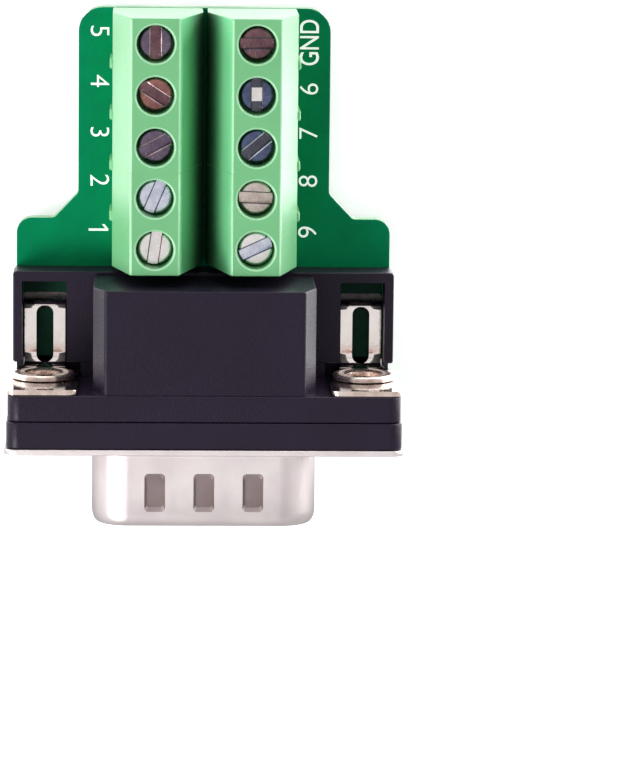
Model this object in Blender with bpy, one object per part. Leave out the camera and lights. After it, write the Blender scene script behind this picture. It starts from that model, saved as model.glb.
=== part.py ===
"""D-sub terminal block adapter: a nine way right angle plug on a small board, wired to ten screw terminals.

Metres, +Z up. The plug faces -Y, the board lies flat, and the origin is at the middle of the underside,
where the tips of the solder tails stand on the table.
"""

import math

import bmesh
import bpy
from mathutils import Matrix, Vector

# Clearances shared by all pieces
SEAT_GAP = 0.00003
SLIDE_GAP = 0.0001
RUN_GAP = 0.00015

# Plug: contacts
UPPER_WAYS = 5
LOWER_WAYS = 4
CONTACT_PITCH = 0.00277
ROW_SPACING = 0.00284
PIN_DIAMETER = 0.0010
PIN_SETBACK = 0.0006
PIN_NOSE_LENGTH = 0.0004
PIN_NOSE_RADIUS = 0.0002
TAIL_DIAMETER = 0.0008
TAIL_BEND = 0.0008
NEAR_ROW_SETBACK = 0.00697
HOLE_CLEARANCE = 0.00006

# Plug: drawn metal shell, as wide and as high as its contacts need
SKIRT_SIDE = 0.00316
SKIRT_WIDTH = (UPPER_WAYS - 1) * CONTACT_PITCH + 2 * SKIRT_SIDE
SKIRT_RISE = 0.00303
SKIRT_HEIGHT = ROW_SPACING + 2 * SKIRT_RISE
FIXING_OFFSET = 0.003795
FIXING_SPACING = SKIRT_WIDTH + 2 * FIXING_OFFSET
FLANGE_EDGE = 0.00291
FLANGE_WIDTH = FIXING_SPACING + 2 * FLANGE_EDGE
FLANGE_LEDGE = 0.001825
FLANGE_HEIGHT = SKIRT_HEIGHT + 2 * FLANGE_LEDGE
FLANGE_LIFT = 0.000025
AXIS_HEIGHT = FLANGE_HEIGHT / 2 + FLANGE_LIFT
FLANGE_SHEET = 0.00045
FLANGE_RADIUS = 0.0010
SKIRT_LENGTH = 0.0059
SKIRT_WALL = 0.0003
SKIRT_RADIUS = 0.0029
SKIRT_SLANT = math.radians(10.0)
SKIRT_ROOT_RADIUS = 0.0005
LIP_INSET = 0.00055
LIP_LENGTH = 0.0011
DIMPLE_PITCH = 0.0038
DIMPLE_WIDTH = 0.00155
DIMPLE_LENGTH = 0.0030
DIMPLE_DEPTH = 0.00028
DIMPLE_CORNER = 0.00025
DIMPLE_SETBACK = 0.0032
DIMPLES = 3

# Plug: mouldings behind the shell's flange
INSULATOR_SIDE_INSET = 0.000155
INSULATOR_WIDTH = FLANGE_WIDTH - 2 * INSULATOR_SIDE_INSET
INSULATOR_TOP_INSET = 0.000125
INSULATOR_HEIGHT = FLANGE_HEIGHT - 2 * INSULATOR_TOP_INSET
INSULATOR_DEPTH = 0.00207
INSULATOR_BOSS = 0.0004
REAR_FLANGE_SIDE_INSET = 0.000255
REAR_FLANGE_WIDTH = FLANGE_WIDTH - 2 * REAR_FLANGE_SIDE_INSET
REAR_FLANGE_TOP_INSET = 0.000175
REAR_FLANGE_HEIGHT = FLANGE_HEIGHT - 2 * REAR_FLANGE_TOP_INSET
REAR_FLANGE_DEPTH = 0.00205
HOOD_SIDE_INSET = 0.0001
HOOD_WIDTH = SKIRT_WIDTH - 2 * HOOD_SIDE_INSET
HOOD_TOP_INSET = 0.0002
HOOD_TOP = REAR_FLANGE_HEIGHT / 2 - HOOD_TOP_INSET
HOOD_CHAMFER_WIDTH = 0.0011
HOOD_CHAMFER_HEIGHT = 0.0022
HOOD_COVER = 0.00107
SKIRTING_INSET = 0.000455
SKIRTING_WIDTH = FLANGE_WIDTH - 2 * SKIRTING_INSET
SKIRTING_HEIGHT = 0.0033
SKIRTING_REAR_LIP = 0.0003
SKIRTING_START = 0.0012
SKIRTING_RADIUS = 0.0008
POCKET_WIDTH = 0.0035
WEB_GAP = 0.00015
REAR_BAR = 0.0008

# Plug: fixings
INSERT_DIAMETER = 0.0038
INSERT_BORE = 0.0025
INSERT_RIM = 0.0003
INSERT_RIM_DIAMETER = 0.0046
INSERT_COLLAR = 0.00047
INSERT_COLLAR_DIAMETER = 0.0049
INSERT_COLLAR_EASE = 0.00015
LOCK_SHEET = 0.0004
LOCK_STRAP_WIDTH = 0.0033
LOCK_SLOT_WIDTH = 0.00125
LOCK_SLOT_START = 0.00065
LOCK_CROSS_PIECE = 0.0004
LOCK_PLATE_WIDTH = 0.0055
LOCK_PLATE_INSET = 0.0002
LOCK_PLATE_CORNER = 0.0006
LOCK_FLARE = 0.6
LOCK_LIFT = 0.00035
LOCK_BEND = 0.0006
LOCK_SWEEP = 0.0014
LOCK_OFFSET = 0.00006
LOCK_SETBACK = NEAR_ROW_SETBACK + ROW_SPACING / 2 + LOCK_OFFSET
LOCK_PRONG_NOTCH = 0.0010
LOCK_PRONG_DROP = 0.0008
LOCK_HOLE_WIDTH = 0.0039
LOCK_HOLE_LENGTH = 0.0013

# Board: the wide end follows from the plug's fixings
BOARD_EDGE = 0.002255
BOARD_WIDTH = FIXING_SPACING + 2 * BOARD_EDGE
BOARD_NECK_WIDTH = 0.0198
BOARD_WIDE_LENGTH = 0.0150
BOARD_THICKNESS = 0.0016
BOARD_SETBACK = 0.00185
SHOULDER_RUN = 0.0019
SHOULDER_RISE = 0.0020
BOARD_FRONT_RADIUS = 0.0010
BOARD_SHOULDER_RADIUS = 0.0012
BOARD_REAR_RADIUS = 0.0019
TAIL_DROP = 0.0013
SOLDER_RADIUS = 0.00095
SOLDER_WAIST_RADIUS = 0.00048
SOLDER_WAIST_DROP = 0.0005
SOLDER_TIP_RADIUS = 0.00028

# Terminal blocks
POLES = 5
POLE_PITCH = 0.00396
BLOCK_STANDOFF = 0.00064
BLOCK_GAP = 0.00034
BLOCK_DEPTH = 0.00703
BLOCK_TOP_WIDTH = 0.0038
BLOCK_SLOPE = math.radians(14.8)
BLOCK_END_WALL = 0.00198
SCREW_OFFSET = 0.000205
WELL_CHAMFER = 0.00015
CAVITY_WIDTH = 0.0030
RIB_WIDTH = 0.00085
RIB_HEIGHT = 0.00022
ENTRY_WIDTH = 0.0025
ENTRY_FLARE = 0.0003
ENTRY_FLARE_DEPTH = 0.0005
SHELF = 0.0004
SCREW_RECESS = 0.0014

# Screws and rising clamps
CLAMP_TRAVEL = 0.0020
SHANK_DIAMETER = 0.0020
HEAD_DIAMETER = 0.0026
HEAD_HEIGHT = 0.0012
HEAD_CHAMFER = 0.00012
SLOT_WIDTH = 0.00078
SLOT_DEPTH = 0.0006
CAGE_WALL = 0.0004
CAGE_ROOF = 0.0009
CAGE_DEPTH = 0.0030
CLOSED_GAP = 0.0003
STRIP_SHEET = 0.0004
STRIP_WIDTH = 0.0016
STRIP_CORNER = 0.00008
STRIP_LIFT = 0.00025
STRIP_BEND = 0.0004
CAGE_LIFT = 0.00035
PIN_OFFSET = 0.00038
BOARD_MARGIN = 0.00003
TERMINAL_PIN_WIDTH = 0.0010
TERMINAL_HOLE = 0.0013

# Levels and places that follow from the sizes above, lengths first
BOARD_TOP = TAIL_DROP + BOARD_THICKNESS
AXIS_Z = BOARD_TOP + AXIS_HEIGHT
INSULATOR_FRONT = FLANGE_SHEET + SEAT_GAP
REAR_FLANGE_FRONT = INSULATOR_FRONT + INSULATOR_DEPTH + SEAT_GAP
REAR_FLANGE_BACK = REAR_FLANGE_FRONT + REAR_FLANGE_DEPTH
LOWER_TAIL_Y = BOARD_SETBACK + NEAR_ROW_SETBACK
UPPER_TAIL_Y = LOWER_TAIL_Y + ROW_SPACING
HOOD_BACK = UPPER_TAIL_Y + HOOD_COVER
SKIRTING_BACK = HOOD_BACK + SKIRTING_REAR_LIP
HOUSING_FOOT = SEAT_GAP - AXIS_HEIGHT
PIN_TIP = PIN_SETBACK - SKIRT_LENGTH
POLE_SPAN = (POLES - 1) * POLE_PITCH
BLOCK_LENGTH = POLE_SPAN + 2 * BLOCK_END_WALL
FIRST_POLE_SETBACK = SKIRTING_BACK - BOARD_SETBACK + BLOCK_STANDOFF + BLOCK_END_WALL
BOARD_LENGTH = FIRST_POLE_SETBACK + POLE_SPAN + BLOCK_END_WALL + BOARD_MARGIN
OVERALL_LENGTH = SKIRT_LENGTH + BOARD_SETBACK + BOARD_LENGTH
FLANGE_Y = SKIRT_LENGTH - OVERALL_LENGTH / 2
BOARD_Y = FLANGE_Y + BOARD_SETBACK
BLOCK_Y = BOARD_Y + FIRST_POLE_SETBACK + POLE_SPAN / 2

# The stack inside one pole, from the board up
CAGE_BOTTOM = STRIP_LIFT + STRIP_SHEET + CAGE_LIFT
WINDOW_BOTTOM = CAGE_BOTTOM + CAGE_WALL
JAW_BOTTOM = WINDOW_BOTTOM + CLAMP_TRAVEL + CLOSED_GAP
JAW_TOP = JAW_BOTTOM + STRIP_SHEET
WINDOW_TOP = JAW_TOP + RUN_GAP
CAGE_TOP = WINDOW_TOP + CAGE_ROOF
CAVITY_TOP = CAGE_TOP + CLAMP_TRAVEL + RUN_GAP
SCREW_SEAT = CAVITY_TOP + SHELF
HEAD_TOP = SCREW_SEAT + SEAT_GAP + HEAD_HEIGHT
BLOCK_HEIGHT = HEAD_TOP + SCREW_RECESS
CAGE_WIDTH = CAVITY_WIDTH - 2 * SLIDE_GAP

# Distances outwards from the board's centre line
BLOCK_INNER = BLOCK_GAP / 2
BLOCK_OUTER = BLOCK_INNER + BLOCK_DEPTH
SCREW_X = BLOCK_INNER + BLOCK_DEPTH / 2 + SCREW_OFFSET
PIN_X = SCREW_X - PIN_OFFSET
LEG_X = SCREW_X - CAGE_DEPTH / 2 - RUN_GAP - STRIP_SHEET / 2
CAVITY_INNER = LEG_X - STRIP_SHEET / 2 - SLIDE_GAP
CAVITY_OUTER = SCREW_X + CAGE_DEPTH / 2 + 2 * RUN_GAP

ROUND = 14
SMALL_ROUND = 8
ARC_STEPS = 3
THROUGH = 0.001

# Share of a slot's width that its end radius takes: just under half, so the two arcs never meet
ROUND_END = 0.49

# Labels of the poles from the plug end to the far end, and how far each screw slot stands turned
LEFT_POLES = (("1", 82), ("2", 67), ("3", 28), ("4", -33), ("5", 90))
RIGHT_POLES = (("9", 25), ("8", -2), ("7", 40), ("6", 90), ("gnd", 0))


def clear_scene():
    for item in list(bpy.data.objects):
        bpy.data.objects.remove(item, do_unlink=True)


def finish(name, colour, roughness, metallic):
    """Principled material from an sRGB colour written as three values up to 255."""
    made = bpy.data.materials.new(name)
    made.use_nodes = True
    shader = made.node_tree.nodes["Principled BSDF"]
    linear = [((value / 255 + 0.055) / 1.055) ** 2.4 for value in colour]
    shader.inputs["Base Color"].default_value = (*linear, 1.0)
    shader.inputs["Roughness"].default_value = roughness
    shader.inputs["Metallic"].default_value = metallic
    made.diffuse_color = (*linear, 1.0)
    return made


# Outlines and rings


def rounded(corners, steps=ARC_STEPS):
    """Points along (u, v, radius) corners, each radius becoming an arc; radius 0 keeps the corner."""
    points = []
    count = len(corners)
    for index, (u, v, radius) in enumerate(corners):
        corner = Vector((u, v))
        if radius == 0:
            points.append(corner)
            continue
        back = (Vector(corners[index - 1][:2]) - corner).normalized()
        ahead = (Vector(corners[(index + 1) % count][:2]) - corner).normalized()
        half = back.angle(ahead) / 2
        centre = corner + (back + ahead).normalized() * (radius / math.sin(half))
        spoke = corner + back * (radius / math.tan(half)) - centre
        side = 1 if back.x * ahead.y - back.y * ahead.x < 0 else -1
        turn = side * (math.pi - 2 * half)
        for step in range(steps + 1):
            points.append(centre + Matrix.Rotation(turn * step / steps, 2) @ spoke)
    return points


def rectangle(width, low, high, radius=0.0):
    """Corners of a rectangle centred on u = 0, anticlockwise, between two v levels."""
    half = width / 2
    return [(-half, low, radius), (half, low, radius), (half, high, radius), (-half, high, radius)]


def circle(radius, count, centre=(0.0, 0.0)):
    angles = [2 * math.pi * (index + 0.5) / count for index in range(count)]
    return [Vector((centre[0] + radius * math.cos(a), centre[1] + radius * math.sin(a))) for a in angles]


def bored(diameter, count):
    """Corner radius of a hole whose flats lie at the bore's own radius."""
    return diameter / 2 / math.cos(math.pi / count)


def skirt_outline(offset):
    """The plug's D outline about its axis as (x, z), moved outwards by offset."""
    radius = SKIRT_RADIUS + offset
    tan = math.tan(SKIRT_SLANT)
    reach = SKIRT_WIDTH / 2 + SKIRT_RADIUS * (tan + 1 / math.cos(SKIRT_SLANT) - 1)
    top = SKIRT_HEIGHT / 2 + offset
    sideways = offset / math.cos(SKIRT_SLANT)
    upper = reach + offset * tan + sideways
    lower = upper - 2 * top * tan
    corners = [(-lower, -top, radius), (lower, -top, radius), (upper, top, radius), (-upper, top, radius)]
    return rounded(corners)


def level(outline, height):
    """The outline drawn at a height along Z."""
    return [Vector((p[0], p[1], height)) for p in outline]


def upright(outline, depth):
    """The outline drawn as (x, z) at a depth along Y."""
    return [Vector((p[0], depth, p[1])) for p in outline]


def across(outline, place):
    """The outline drawn as (y, z) at a place along X."""
    return [Vector((place, p[0], p[1])) for p in outline]


# Solids


def solid(rings, hollow=False):
    """Closed mesh through rings of equal count: capped at both ends, or joined last to first when hollow."""
    shape = bmesh.new()
    loops = [[shape.verts.new(point) for point in ring] for ring in rings]
    pairs = list(zip(loops, loops[1:]))
    if hollow:
        pairs.append((loops[-1], loops[0]))
    else:
        shape.faces.new(loops[0])
        shape.faces.new(loops[-1])
    for low, high in pairs:
        for index in range(len(low)):
            after = (index + 1) % len(low)
            shape.faces.new((low[index], low[after], high[after], high[index]))
    bmesh.ops.recalc_face_normals(shape, faces=shape.faces)
    return to_mesh(shape)


def to_mesh(shape):
    mesh = bpy.data.meshes.new("shape")
    shape.to_mesh(mesh)
    shape.free()
    return mesh


def turned(profile, count):
    """Round solid about Z through (radius, height) pairs."""
    return solid([level(circle(radius, count), height) for radius, height in profile])


def cylinder_along_y(radius, start, end, count, x=0.0, z=0.0):
    outline = circle(radius, count, (x, z))
    return solid([upright(outline, start), upright(outline, end)])


def box(low, high):
    outline = [(low[0], low[1]), (high[0], low[1]), (high[0], high[1]), (low[0], high[1])]
    return solid([level(outline, low[2]), level(outline, high[2])])


def gathered(meshes):
    """One mesh that holds several separate shapes, for use as one Boolean tool."""
    shape = bmesh.new()
    for mesh in meshes:
        shape.from_mesh(mesh)
    return to_mesh(shape)


def repeated(mesh, offsets):
    shape = bmesh.new()
    for offset in offsets:
        known = len(shape.verts)
        shape.from_mesh(mesh)
        shape.verts.ensure_lookup_table()
        bmesh.ops.translate(shape, verts=shape.verts[known:], vec=offset)
    return to_mesh(shape)


def combined(body, steps):
    """The body after each (operation, tool) step of Blender's exact Boolean."""
    scene = bpy.context.scene.collection
    work = bpy.data.objects.new("work", body)
    scene.objects.link(work)
    tools = []
    for operation, mesh in steps:
        tool = bpy.data.objects.new("tool", mesh)
        tool.hide_render = True
        tool.display_type = "WIRE"
        scene.objects.link(tool)
        modifier = work.modifiers.new(operation.title(), "BOOLEAN")
        modifier.operation = operation
        modifier.solver = "EXACT"
        modifier.object = tool
        tools.append(tool)
    bpy.context.view_layer.update()
    result = bpy.data.meshes.new_from_object(work.evaluated_get(bpy.context.evaluated_depsgraph_get()))
    for item in [work, *tools]:
        bpy.data.objects.remove(item, do_unlink=True)
    return result


def bar_section(half_side, half_normal, corner, parts):
    """Points of a rounded bar section, even round a circle when the corner equals both halves."""
    points = []
    for quadrant in range(4):
        for part in range(parts):
            angle = math.radians(90 * (quadrant + (part + 0.5) / parts))
            sign_u = 1 if quadrant in (0, 3) else -1
            sign_v = 1 if quadrant in (0, 1) else -1
            u = sign_u * (half_side - corner) + corner * math.cos(angle)
            v = sign_v * (half_normal - corner) + corner * math.sin(angle)
            points.append((u, v))
    return points


def swept(stations, side, parts):
    """Bar through (point, half side, half normal, corner) stations, its side axis staying fixed.

    Each quarter of its section has the given number of points.
    """
    places = [Vector(station[0]) for station in stations]
    rings = []
    for index, (_, half_side, half_normal, corner) in enumerate(stations):
        here = places[index]
        ahead = next((p for p in places[index + 1 :] if (p - here).length > 0), here)
        behind = next((p for p in reversed(places[:index]) if (p - here).length > 0), here)
        normal = (ahead - behind).normalized().cross(side)
        section = bar_section(half_side, half_normal, corner, parts)
        rings.append([here + side * u + normal * v for u, v in section])
    return solid(rings)


def soldered_end(point_at, bar):
    """Stations of a pin's end below the board: the bar, then the solder cone, down to the tip."""
    under = -BOARD_THICKNESS - SEAT_GAP
    cone = [
        (under, SOLDER_RADIUS),
        (under - SOLDER_WAIST_DROP, SOLDER_WAIST_RADIUS),
        (-BOARD_THICKNESS - TAIL_DROP, SOLDER_TIP_RADIUS),
    ]
    return [(point_at(under), *bar)] + [(point_at(z), radius, radius, radius) for z, radius in cone]


# Where things stand


def row_places(ways):
    return [(index - (ways - 1) / 2) * CONTACT_PITCH for index in range(ways)]


def pole_places():
    """Distance of each pole along the block from the block's middle."""
    return [(index - (POLES - 1) / 2) * POLE_PITCH for index in range(POLES)]


# Shapes of the pieces


def board_mesh():
    half = BOARD_WIDTH / 2
    neck = BOARD_NECK_WIDTH / 2
    shoulder_end = BOARD_WIDE_LENGTH + SHOULDER_RISE
    right = [
        (half, 0, BOARD_FRONT_RADIUS),
        (half, BOARD_WIDE_LENGTH, BOARD_SHOULDER_RADIUS),
        (neck + SHOULDER_RUN, BOARD_WIDE_LENGTH, 0),
        (neck, shoulder_end, 0),
        (neck, BOARD_LENGTH, BOARD_REAR_RADIUS),
    ]
    left = [(-u, v, radius) for u, v, radius in reversed(right)]
    outline = rounded(right + left)
    plate = solid([level(outline, 0), level(outline, BOARD_THICKNESS)])

    holes = []
    contact_hole = bored(TAIL_DIAMETER + 2 * SLIDE_GAP, SMALL_ROUND)
    for ways, tail_y in ((UPPER_WAYS, UPPER_TAIL_Y), (LOWER_WAYS, LOWER_TAIL_Y)):
        for x in row_places(ways):
            holes.append(circle(contact_hole, SMALL_ROUND, (x, tail_y - BOARD_SETBACK)))
    terminal_hole = bored(TERMINAL_HOLE, SMALL_ROUND)
    for side in (-1, 1):
        for along in pole_places():
            centre = (side * PIN_X, along + BLOCK_Y - BOARD_Y)
            holes.append(circle(terminal_hole, SMALL_ROUND, centre))
    for side in (-1, 1):
        low = LOCK_SETBACK - LOCK_HOLE_LENGTH / 2
        slot = rectangle(LOCK_HOLE_WIDTH, low, low + LOCK_HOLE_LENGTH, ROUND_END * LOCK_HOLE_LENGTH)
        holes.append([p + Vector((side * FIXING_SPACING / 2, 0)) for p in rounded(slot)])
    drills = [solid([level(hole, -THROUGH), level(hole, BOARD_THICKNESS + THROUGH)]) for hole in holes]
    return combined(plate, [("DIFFERENCE", gathered(drills))])


def flange_outline(width, height):
    return rounded(rectangle(width, -height / 2, height / 2, FLANGE_RADIUS))


def fixing_holes(start, end):
    """Tool for the two holes that the threaded inserts pass through."""
    radius = bored(INSERT_DIAMETER + 2 * SEAT_GAP, ROUND)
    sides = (-FIXING_SPACING / 2, FIXING_SPACING / 2)
    return gathered([cylinder_along_y(radius, start, end, ROUND, x) for x in sides])


def quarter(steps):
    """Pairs (sine, cosine) that lead round a quarter turn from 0 to 90 degrees."""
    angles = [math.pi / 2 * index / steps for index in range(steps + 1)]
    return [(math.sin(angle), math.cos(angle)) for angle in angles]


def shell_mesh():
    """Flat flange and a drawn D skirt whose rim curls in, dimpled on its wide side."""
    outline = flange_outline(FLANGE_WIDTH, FLANGE_HEIGHT)
    flange = solid([upright(outline, 0), upright(outline, FLANGE_SHEET)])

    root = SKIRT_ROOT_RADIUS
    shoulder = LIP_LENGTH - SKIRT_LENGTH
    outside = [(root, FLANGE_SHEET / 2)]
    for sine, cosine in quarter(ARC_STEPS):
        outside.append((root * (1 - sine), root * (cosine - 1)))
    for sine, cosine in quarter(ARC_STEPS + 1):
        outside.append((-LIP_INSET * (1 - cosine), shoulder - LIP_LENGTH * sine))
    skirt = solid([upright(skirt_outline(offset), y) for offset, y in outside])

    wide = root + FLANGE_SHEET - SKIRT_WALL
    inner_lip = LIP_LENGTH - SKIRT_WALL
    inside = [(wide, FLANGE_SHEET + THROUGH)]
    for sine, cosine in quarter(ARC_STEPS):
        inside.append((wide - (wide + SKIRT_WALL) * sine, FLANGE_SHEET - wide * (1 - cosine)))
    for sine, cosine in quarter(ARC_STEPS):
        inside.append(((SKIRT_WALL - LIP_INSET) * (1 - cosine) - SKIRT_WALL, shoulder - inner_lip * sine))
    inside.append((-LIP_INSET, -SKIRT_LENGTH - THROUGH))
    hollow = solid([upright(skirt_outline(offset), y) for offset, y in inside])

    places = [((index - (DIMPLES - 1) / 2) * DIMPLE_PITCH, 0, 0) for index in range(DIMPLES)]
    pads = repeated(dimple_mesh(SKIRT_WALL, -SKIRT_WALL / 2), places)
    dents = repeated(dimple_mesh(0.0, THROUGH), places)
    steps = [("UNION", skirt), ("DIFFERENCE", hollow), ("UNION", pads), ("DIFFERENCE", dents)]
    steps.append(("DIFFERENCE", fixing_holes(-THROUGH, FLANGE_SHEET + THROUGH)))
    return combined(flange, steps)


def dimple_mesh(grow, rise):
    """Tapered dent in the skirt's wide side, grown by the sheet to give the bulge inside it."""
    top = SKIRT_HEIGHT / 2
    floor = top - DIMPLE_DEPTH - grow
    rings = []
    for height, spread in ((floor, grow), (top + rise, grow + DIMPLE_DEPTH / 2)):
        width = DIMPLE_WIDTH + 2 * spread
        half_y = DIMPLE_LENGTH / 2 + 2 * spread
        outline = rectangle(width, -DIMPLE_SETBACK - half_y, half_y - DIMPLE_SETBACK, DIMPLE_CORNER)
        rings.append(level(rounded(outline, ARC_STEPS - 1), height))
    return solid(rings)


def contact_bores(diameter, start, end):
    """Tool for the holes of all nine contacts."""
    radius = bored(diameter + 2 * HOLE_CLEARANCE, SMALL_ROUND)
    bores = []
    for ways, z in ((UPPER_WAYS, ROW_SPACING / 2), (LOWER_WAYS, -ROW_SPACING / 2)):
        bores += [cylinder_along_y(radius, start, end, SMALL_ROUND, x, z) for x in row_places(ways)]
    return gathered(bores)


def insulator_mesh():
    """Front moulding: a flange behind the shell and the D face that holds the pins."""
    outline = flange_outline(INSULATOR_WIDTH, INSULATOR_HEIGHT)
    back = INSULATOR_FRONT + INSULATOR_DEPTH
    flange = solid([upright(outline, INSULATOR_FRONT), upright(outline, back)])
    boss_outline = skirt_outline(-SKIRT_WALL - 2 * RUN_GAP)
    boss = solid([upright(boss_outline, -INSULATOR_BOSS), upright(boss_outline, back - SEAT_GAP)])
    steps = [("UNION", boss)]
    steps.append(("DIFFERENCE", contact_bores(PIN_DIAMETER, -THROUGH, back + THROUGH)))
    steps.append(("DIFFERENCE", fixing_holes(0, back + THROUGH)))
    return combined(flange, steps)


def housing_mesh():
    """Rear moulding: flange, chamfered hood over the contacts, and a low skirting with two open pockets."""
    wall = flange_outline(REAR_FLANGE_WIDTH, REAR_FLANGE_HEIGHT)
    flange = solid([upright(wall, REAR_FLANGE_FRONT), upright(wall, REAR_FLANGE_BACK)])

    half = HOOD_WIDTH / 2
    ridge = half - HOOD_CHAMFER_WIDTH
    cheek = HOOD_TOP - HOOD_CHAMFER_HEIGHT
    hood_outline = [
        (-half, HOUSING_FOOT),
        (half, HOUSING_FOOT),
        (half, cheek),
        (ridge, HOOD_TOP),
        (-ridge, HOOD_TOP),
        (-half, cheek),
    ]
    hood_front = REAR_FLANGE_BACK - REAR_FLANGE_DEPTH / 2
    hood = solid([upright(hood_outline, hood_front), upright(hood_outline, HOOD_BACK)])

    front = REAR_FLANGE_BACK + SKIRTING_START
    back = SKIRTING_BACK
    side = SKIRTING_WIDTH / 2
    radius = SKIRTING_RADIUS
    plan = [(-side, front, 0), (side, front, 0), (side, back, radius), (-side, back, radius)]
    foot = HOUSING_FOOT
    skirting = solid([level(rounded(plan), foot), level(rounded(plan), foot + SKIRTING_HEIGHT)])

    web_out = FIXING_SPACING / 2 - LOCK_PLATE_WIDTH / 2 - WEB_GAP
    web_low = (-web_out, hood_front, foot)
    webs = box(web_low, (web_out, front + THROUGH, foot + SKIRTING_HEIGHT - SEAT_GAP))

    steps = [
        ("UNION", skirting),
        ("UNION", webs),
        ("UNION", hood),
        ("DIFFERENCE", pockets(front, back)),
        ("DIFFERENCE", tail_slots()),
        ("DIFFERENCE", contact_bores(TAIL_DIAMETER, 0, REAR_FLANGE_BACK + THROUGH)),
        ("DIFFERENCE", fixing_holes(0, REAR_FLANGE_BACK + THROUGH)),
    ]
    return combined(flange, steps)


def pockets(front, back):
    """Tool for the pockets round the board locks, open to the plug's side, the board and the top."""
    half = POCKET_WIDTH / 2
    bottom = HOUSING_FOOT - THROUGH
    top = HOUSING_FOOT + SKIRTING_HEIGHT + THROUGH
    tools = []
    for side in (-1, 1):
        x = side * FIXING_SPACING / 2
        tools.append(box((x - half, front - THROUGH, bottom), (x + half, back - REAR_BAR, top)))
    return gathered(tools)


def tail_slots():
    """Tool for the comb of slots under the hood, one for each contact's leg."""
    half = TAIL_DIAMETER / 2 + SLIDE_GAP
    start = REAR_FLANGE_BACK + SEAT_GAP
    tools = []
    for ways, row, tail_y in (
        (UPPER_WAYS, ROW_SPACING / 2, UPPER_TAIL_Y),
        (LOWER_WAYS, -ROW_SPACING / 2, LOWER_TAIL_Y),
    ):
        for x in row_places(ways):
            low = (x - half, start, HOUSING_FOOT - THROUGH)
            high = (x + half, tail_y + 2 * half, row + half + SLIDE_GAP)
            tools.append(box(low, high))
    return gathered(tools)


def contact_mesh(tail_y, row):
    """Machined pin that turns down behind the plug and ends in its solder joint under the board."""
    pin = PIN_DIAMETER / 2
    tail = TAIL_DIAMETER / 2
    step_y = INSULATOR_FRONT + INSULATOR_DEPTH - SLIDE_GAP
    board_level = -AXIS_HEIGHT - row
    stations = []
    nose = [(PIN_TIP, PIN_NOSE_RADIUS), (PIN_TIP + PIN_NOSE_LENGTH, pin)]
    for y, radius in (*nose, (step_y, pin), (step_y, tail)):
        stations.append(((0, y, 0), radius, radius, radius))
    for sine, cosine in quarter(ARC_STEPS - 1):
        bend = (0, tail_y - TAIL_BEND * (1 - sine), TAIL_BEND * (cosine - 1))
        stations.append((bend, tail, tail, tail))
    stations += soldered_end(lambda z: (0, tail_y, board_level + z), (tail, tail, tail))
    return swept(stations, Vector((1, 0, 0)), 2)


def insert_mesh():
    """Threaded insert: a rim before the shell, a tube and a collar behind the lock's plate."""
    outer = INSERT_DIAMETER / 2
    rim = INSERT_RIM_DIAMETER / 2
    bore = INSERT_BORE / 2
    collar = INSERT_COLLAR_DIAMETER / 2
    low = collar - INSERT_COLLAR_EASE
    front = REAR_FLANGE_BACK + LOCK_SHEET + 2 * SEAT_GAP
    back = front + INSERT_COLLAR
    profile = [
        (bore, -INSERT_RIM),
        (rim - INSERT_RIM / 2, -INSERT_RIM),
        (rim, -INSERT_RIM / 2),
        (rim, -SEAT_GAP),
        (outer, -SEAT_GAP),
        (outer, front),
        (low, front),
        (collar, front + INSERT_COLLAR_EASE),
        (collar, back - INSERT_COLLAR_EASE),
        (low, back),
        (bore, back),
    ]
    return solid([upright(circle(radius, ROUND), y) for radius, y in profile], hollow=True)


def lock_mesh():
    """Bent strip: a plate behind the flange, a slotted strap over the board and two prongs through it."""
    plate_y = SEAT_GAP + LOCK_SHEET / 2
    strap_z = LOCK_LIFT + LOCK_SHEET / 2
    prong_y = BOARD_SETBACK + LOCK_SETBACK - REAR_FLANGE_BACK
    plate = LOCK_PLATE_WIDTH / 2
    strap = LOCK_STRAP_WIDTH / 2
    top = AXIS_HEIGHT + REAR_FLANGE_HEIGHT / 2 - LOCK_PLATE_INSET
    tip = -BOARD_THICKNESS - LOCK_PRONG_DROP

    rows = []
    for sine, cosine in quarter(ARC_STEPS):
        height = top - LOCK_PLATE_CORNER * (1 - cosine)
        rows.append(((plate_y, height), plate - LOCK_PLATE_CORNER * (1 - sine)))
    bends = [(plate_y, strap_z, LOCK_SWEEP), (prong_y, strap_z, LOCK_BEND)]
    track = rounded([(plate_y, AXIS_HEIGHT, 0), *bends, (prong_y, tip, 0)])[1:]
    for index, point in enumerate(track):
        narrowing = min(1, index / (LOCK_FLARE * ARC_STEPS))
        rows.append((point, strap + (plate - strap) * (1 - narrowing) ** 2))
    stations = [((0, point[0], point[1]), half, LOCK_SHEET / 2, 0) for point, half in rows]
    strip = swept(stations, Vector((1, 0, 0)), 1)

    slot_back = prong_y - LOCK_CROSS_PIECE
    slot = rounded(rectangle(LOCK_SLOT_WIDTH, LOCK_SLOT_START, slot_back, ROUND_END * LOCK_SLOT_WIDTH))
    opening = solid([level(slot, -SEAT_GAP), level(slot, strap_z + LOCK_SWEEP)])
    notch = box(
        (-LOCK_PRONG_NOTCH / 2, prong_y - LOCK_SHEET, tip - THROUGH),
        (LOCK_PRONG_NOTCH / 2, prong_y + LOCK_SHEET, -LOCK_LIFT),
    )
    radius = bored(INSERT_DIAMETER + 2 * SEAT_GAP, ROUND)
    hole = cylinder_along_y(radius, -THROUGH, plate_y + LOCK_SHEET, ROUND, 0, AXIS_HEIGHT)
    return combined(strip, [("DIFFERENCE", opening), ("DIFFERENCE", notch), ("DIFFERENCE", hole)])


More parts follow.
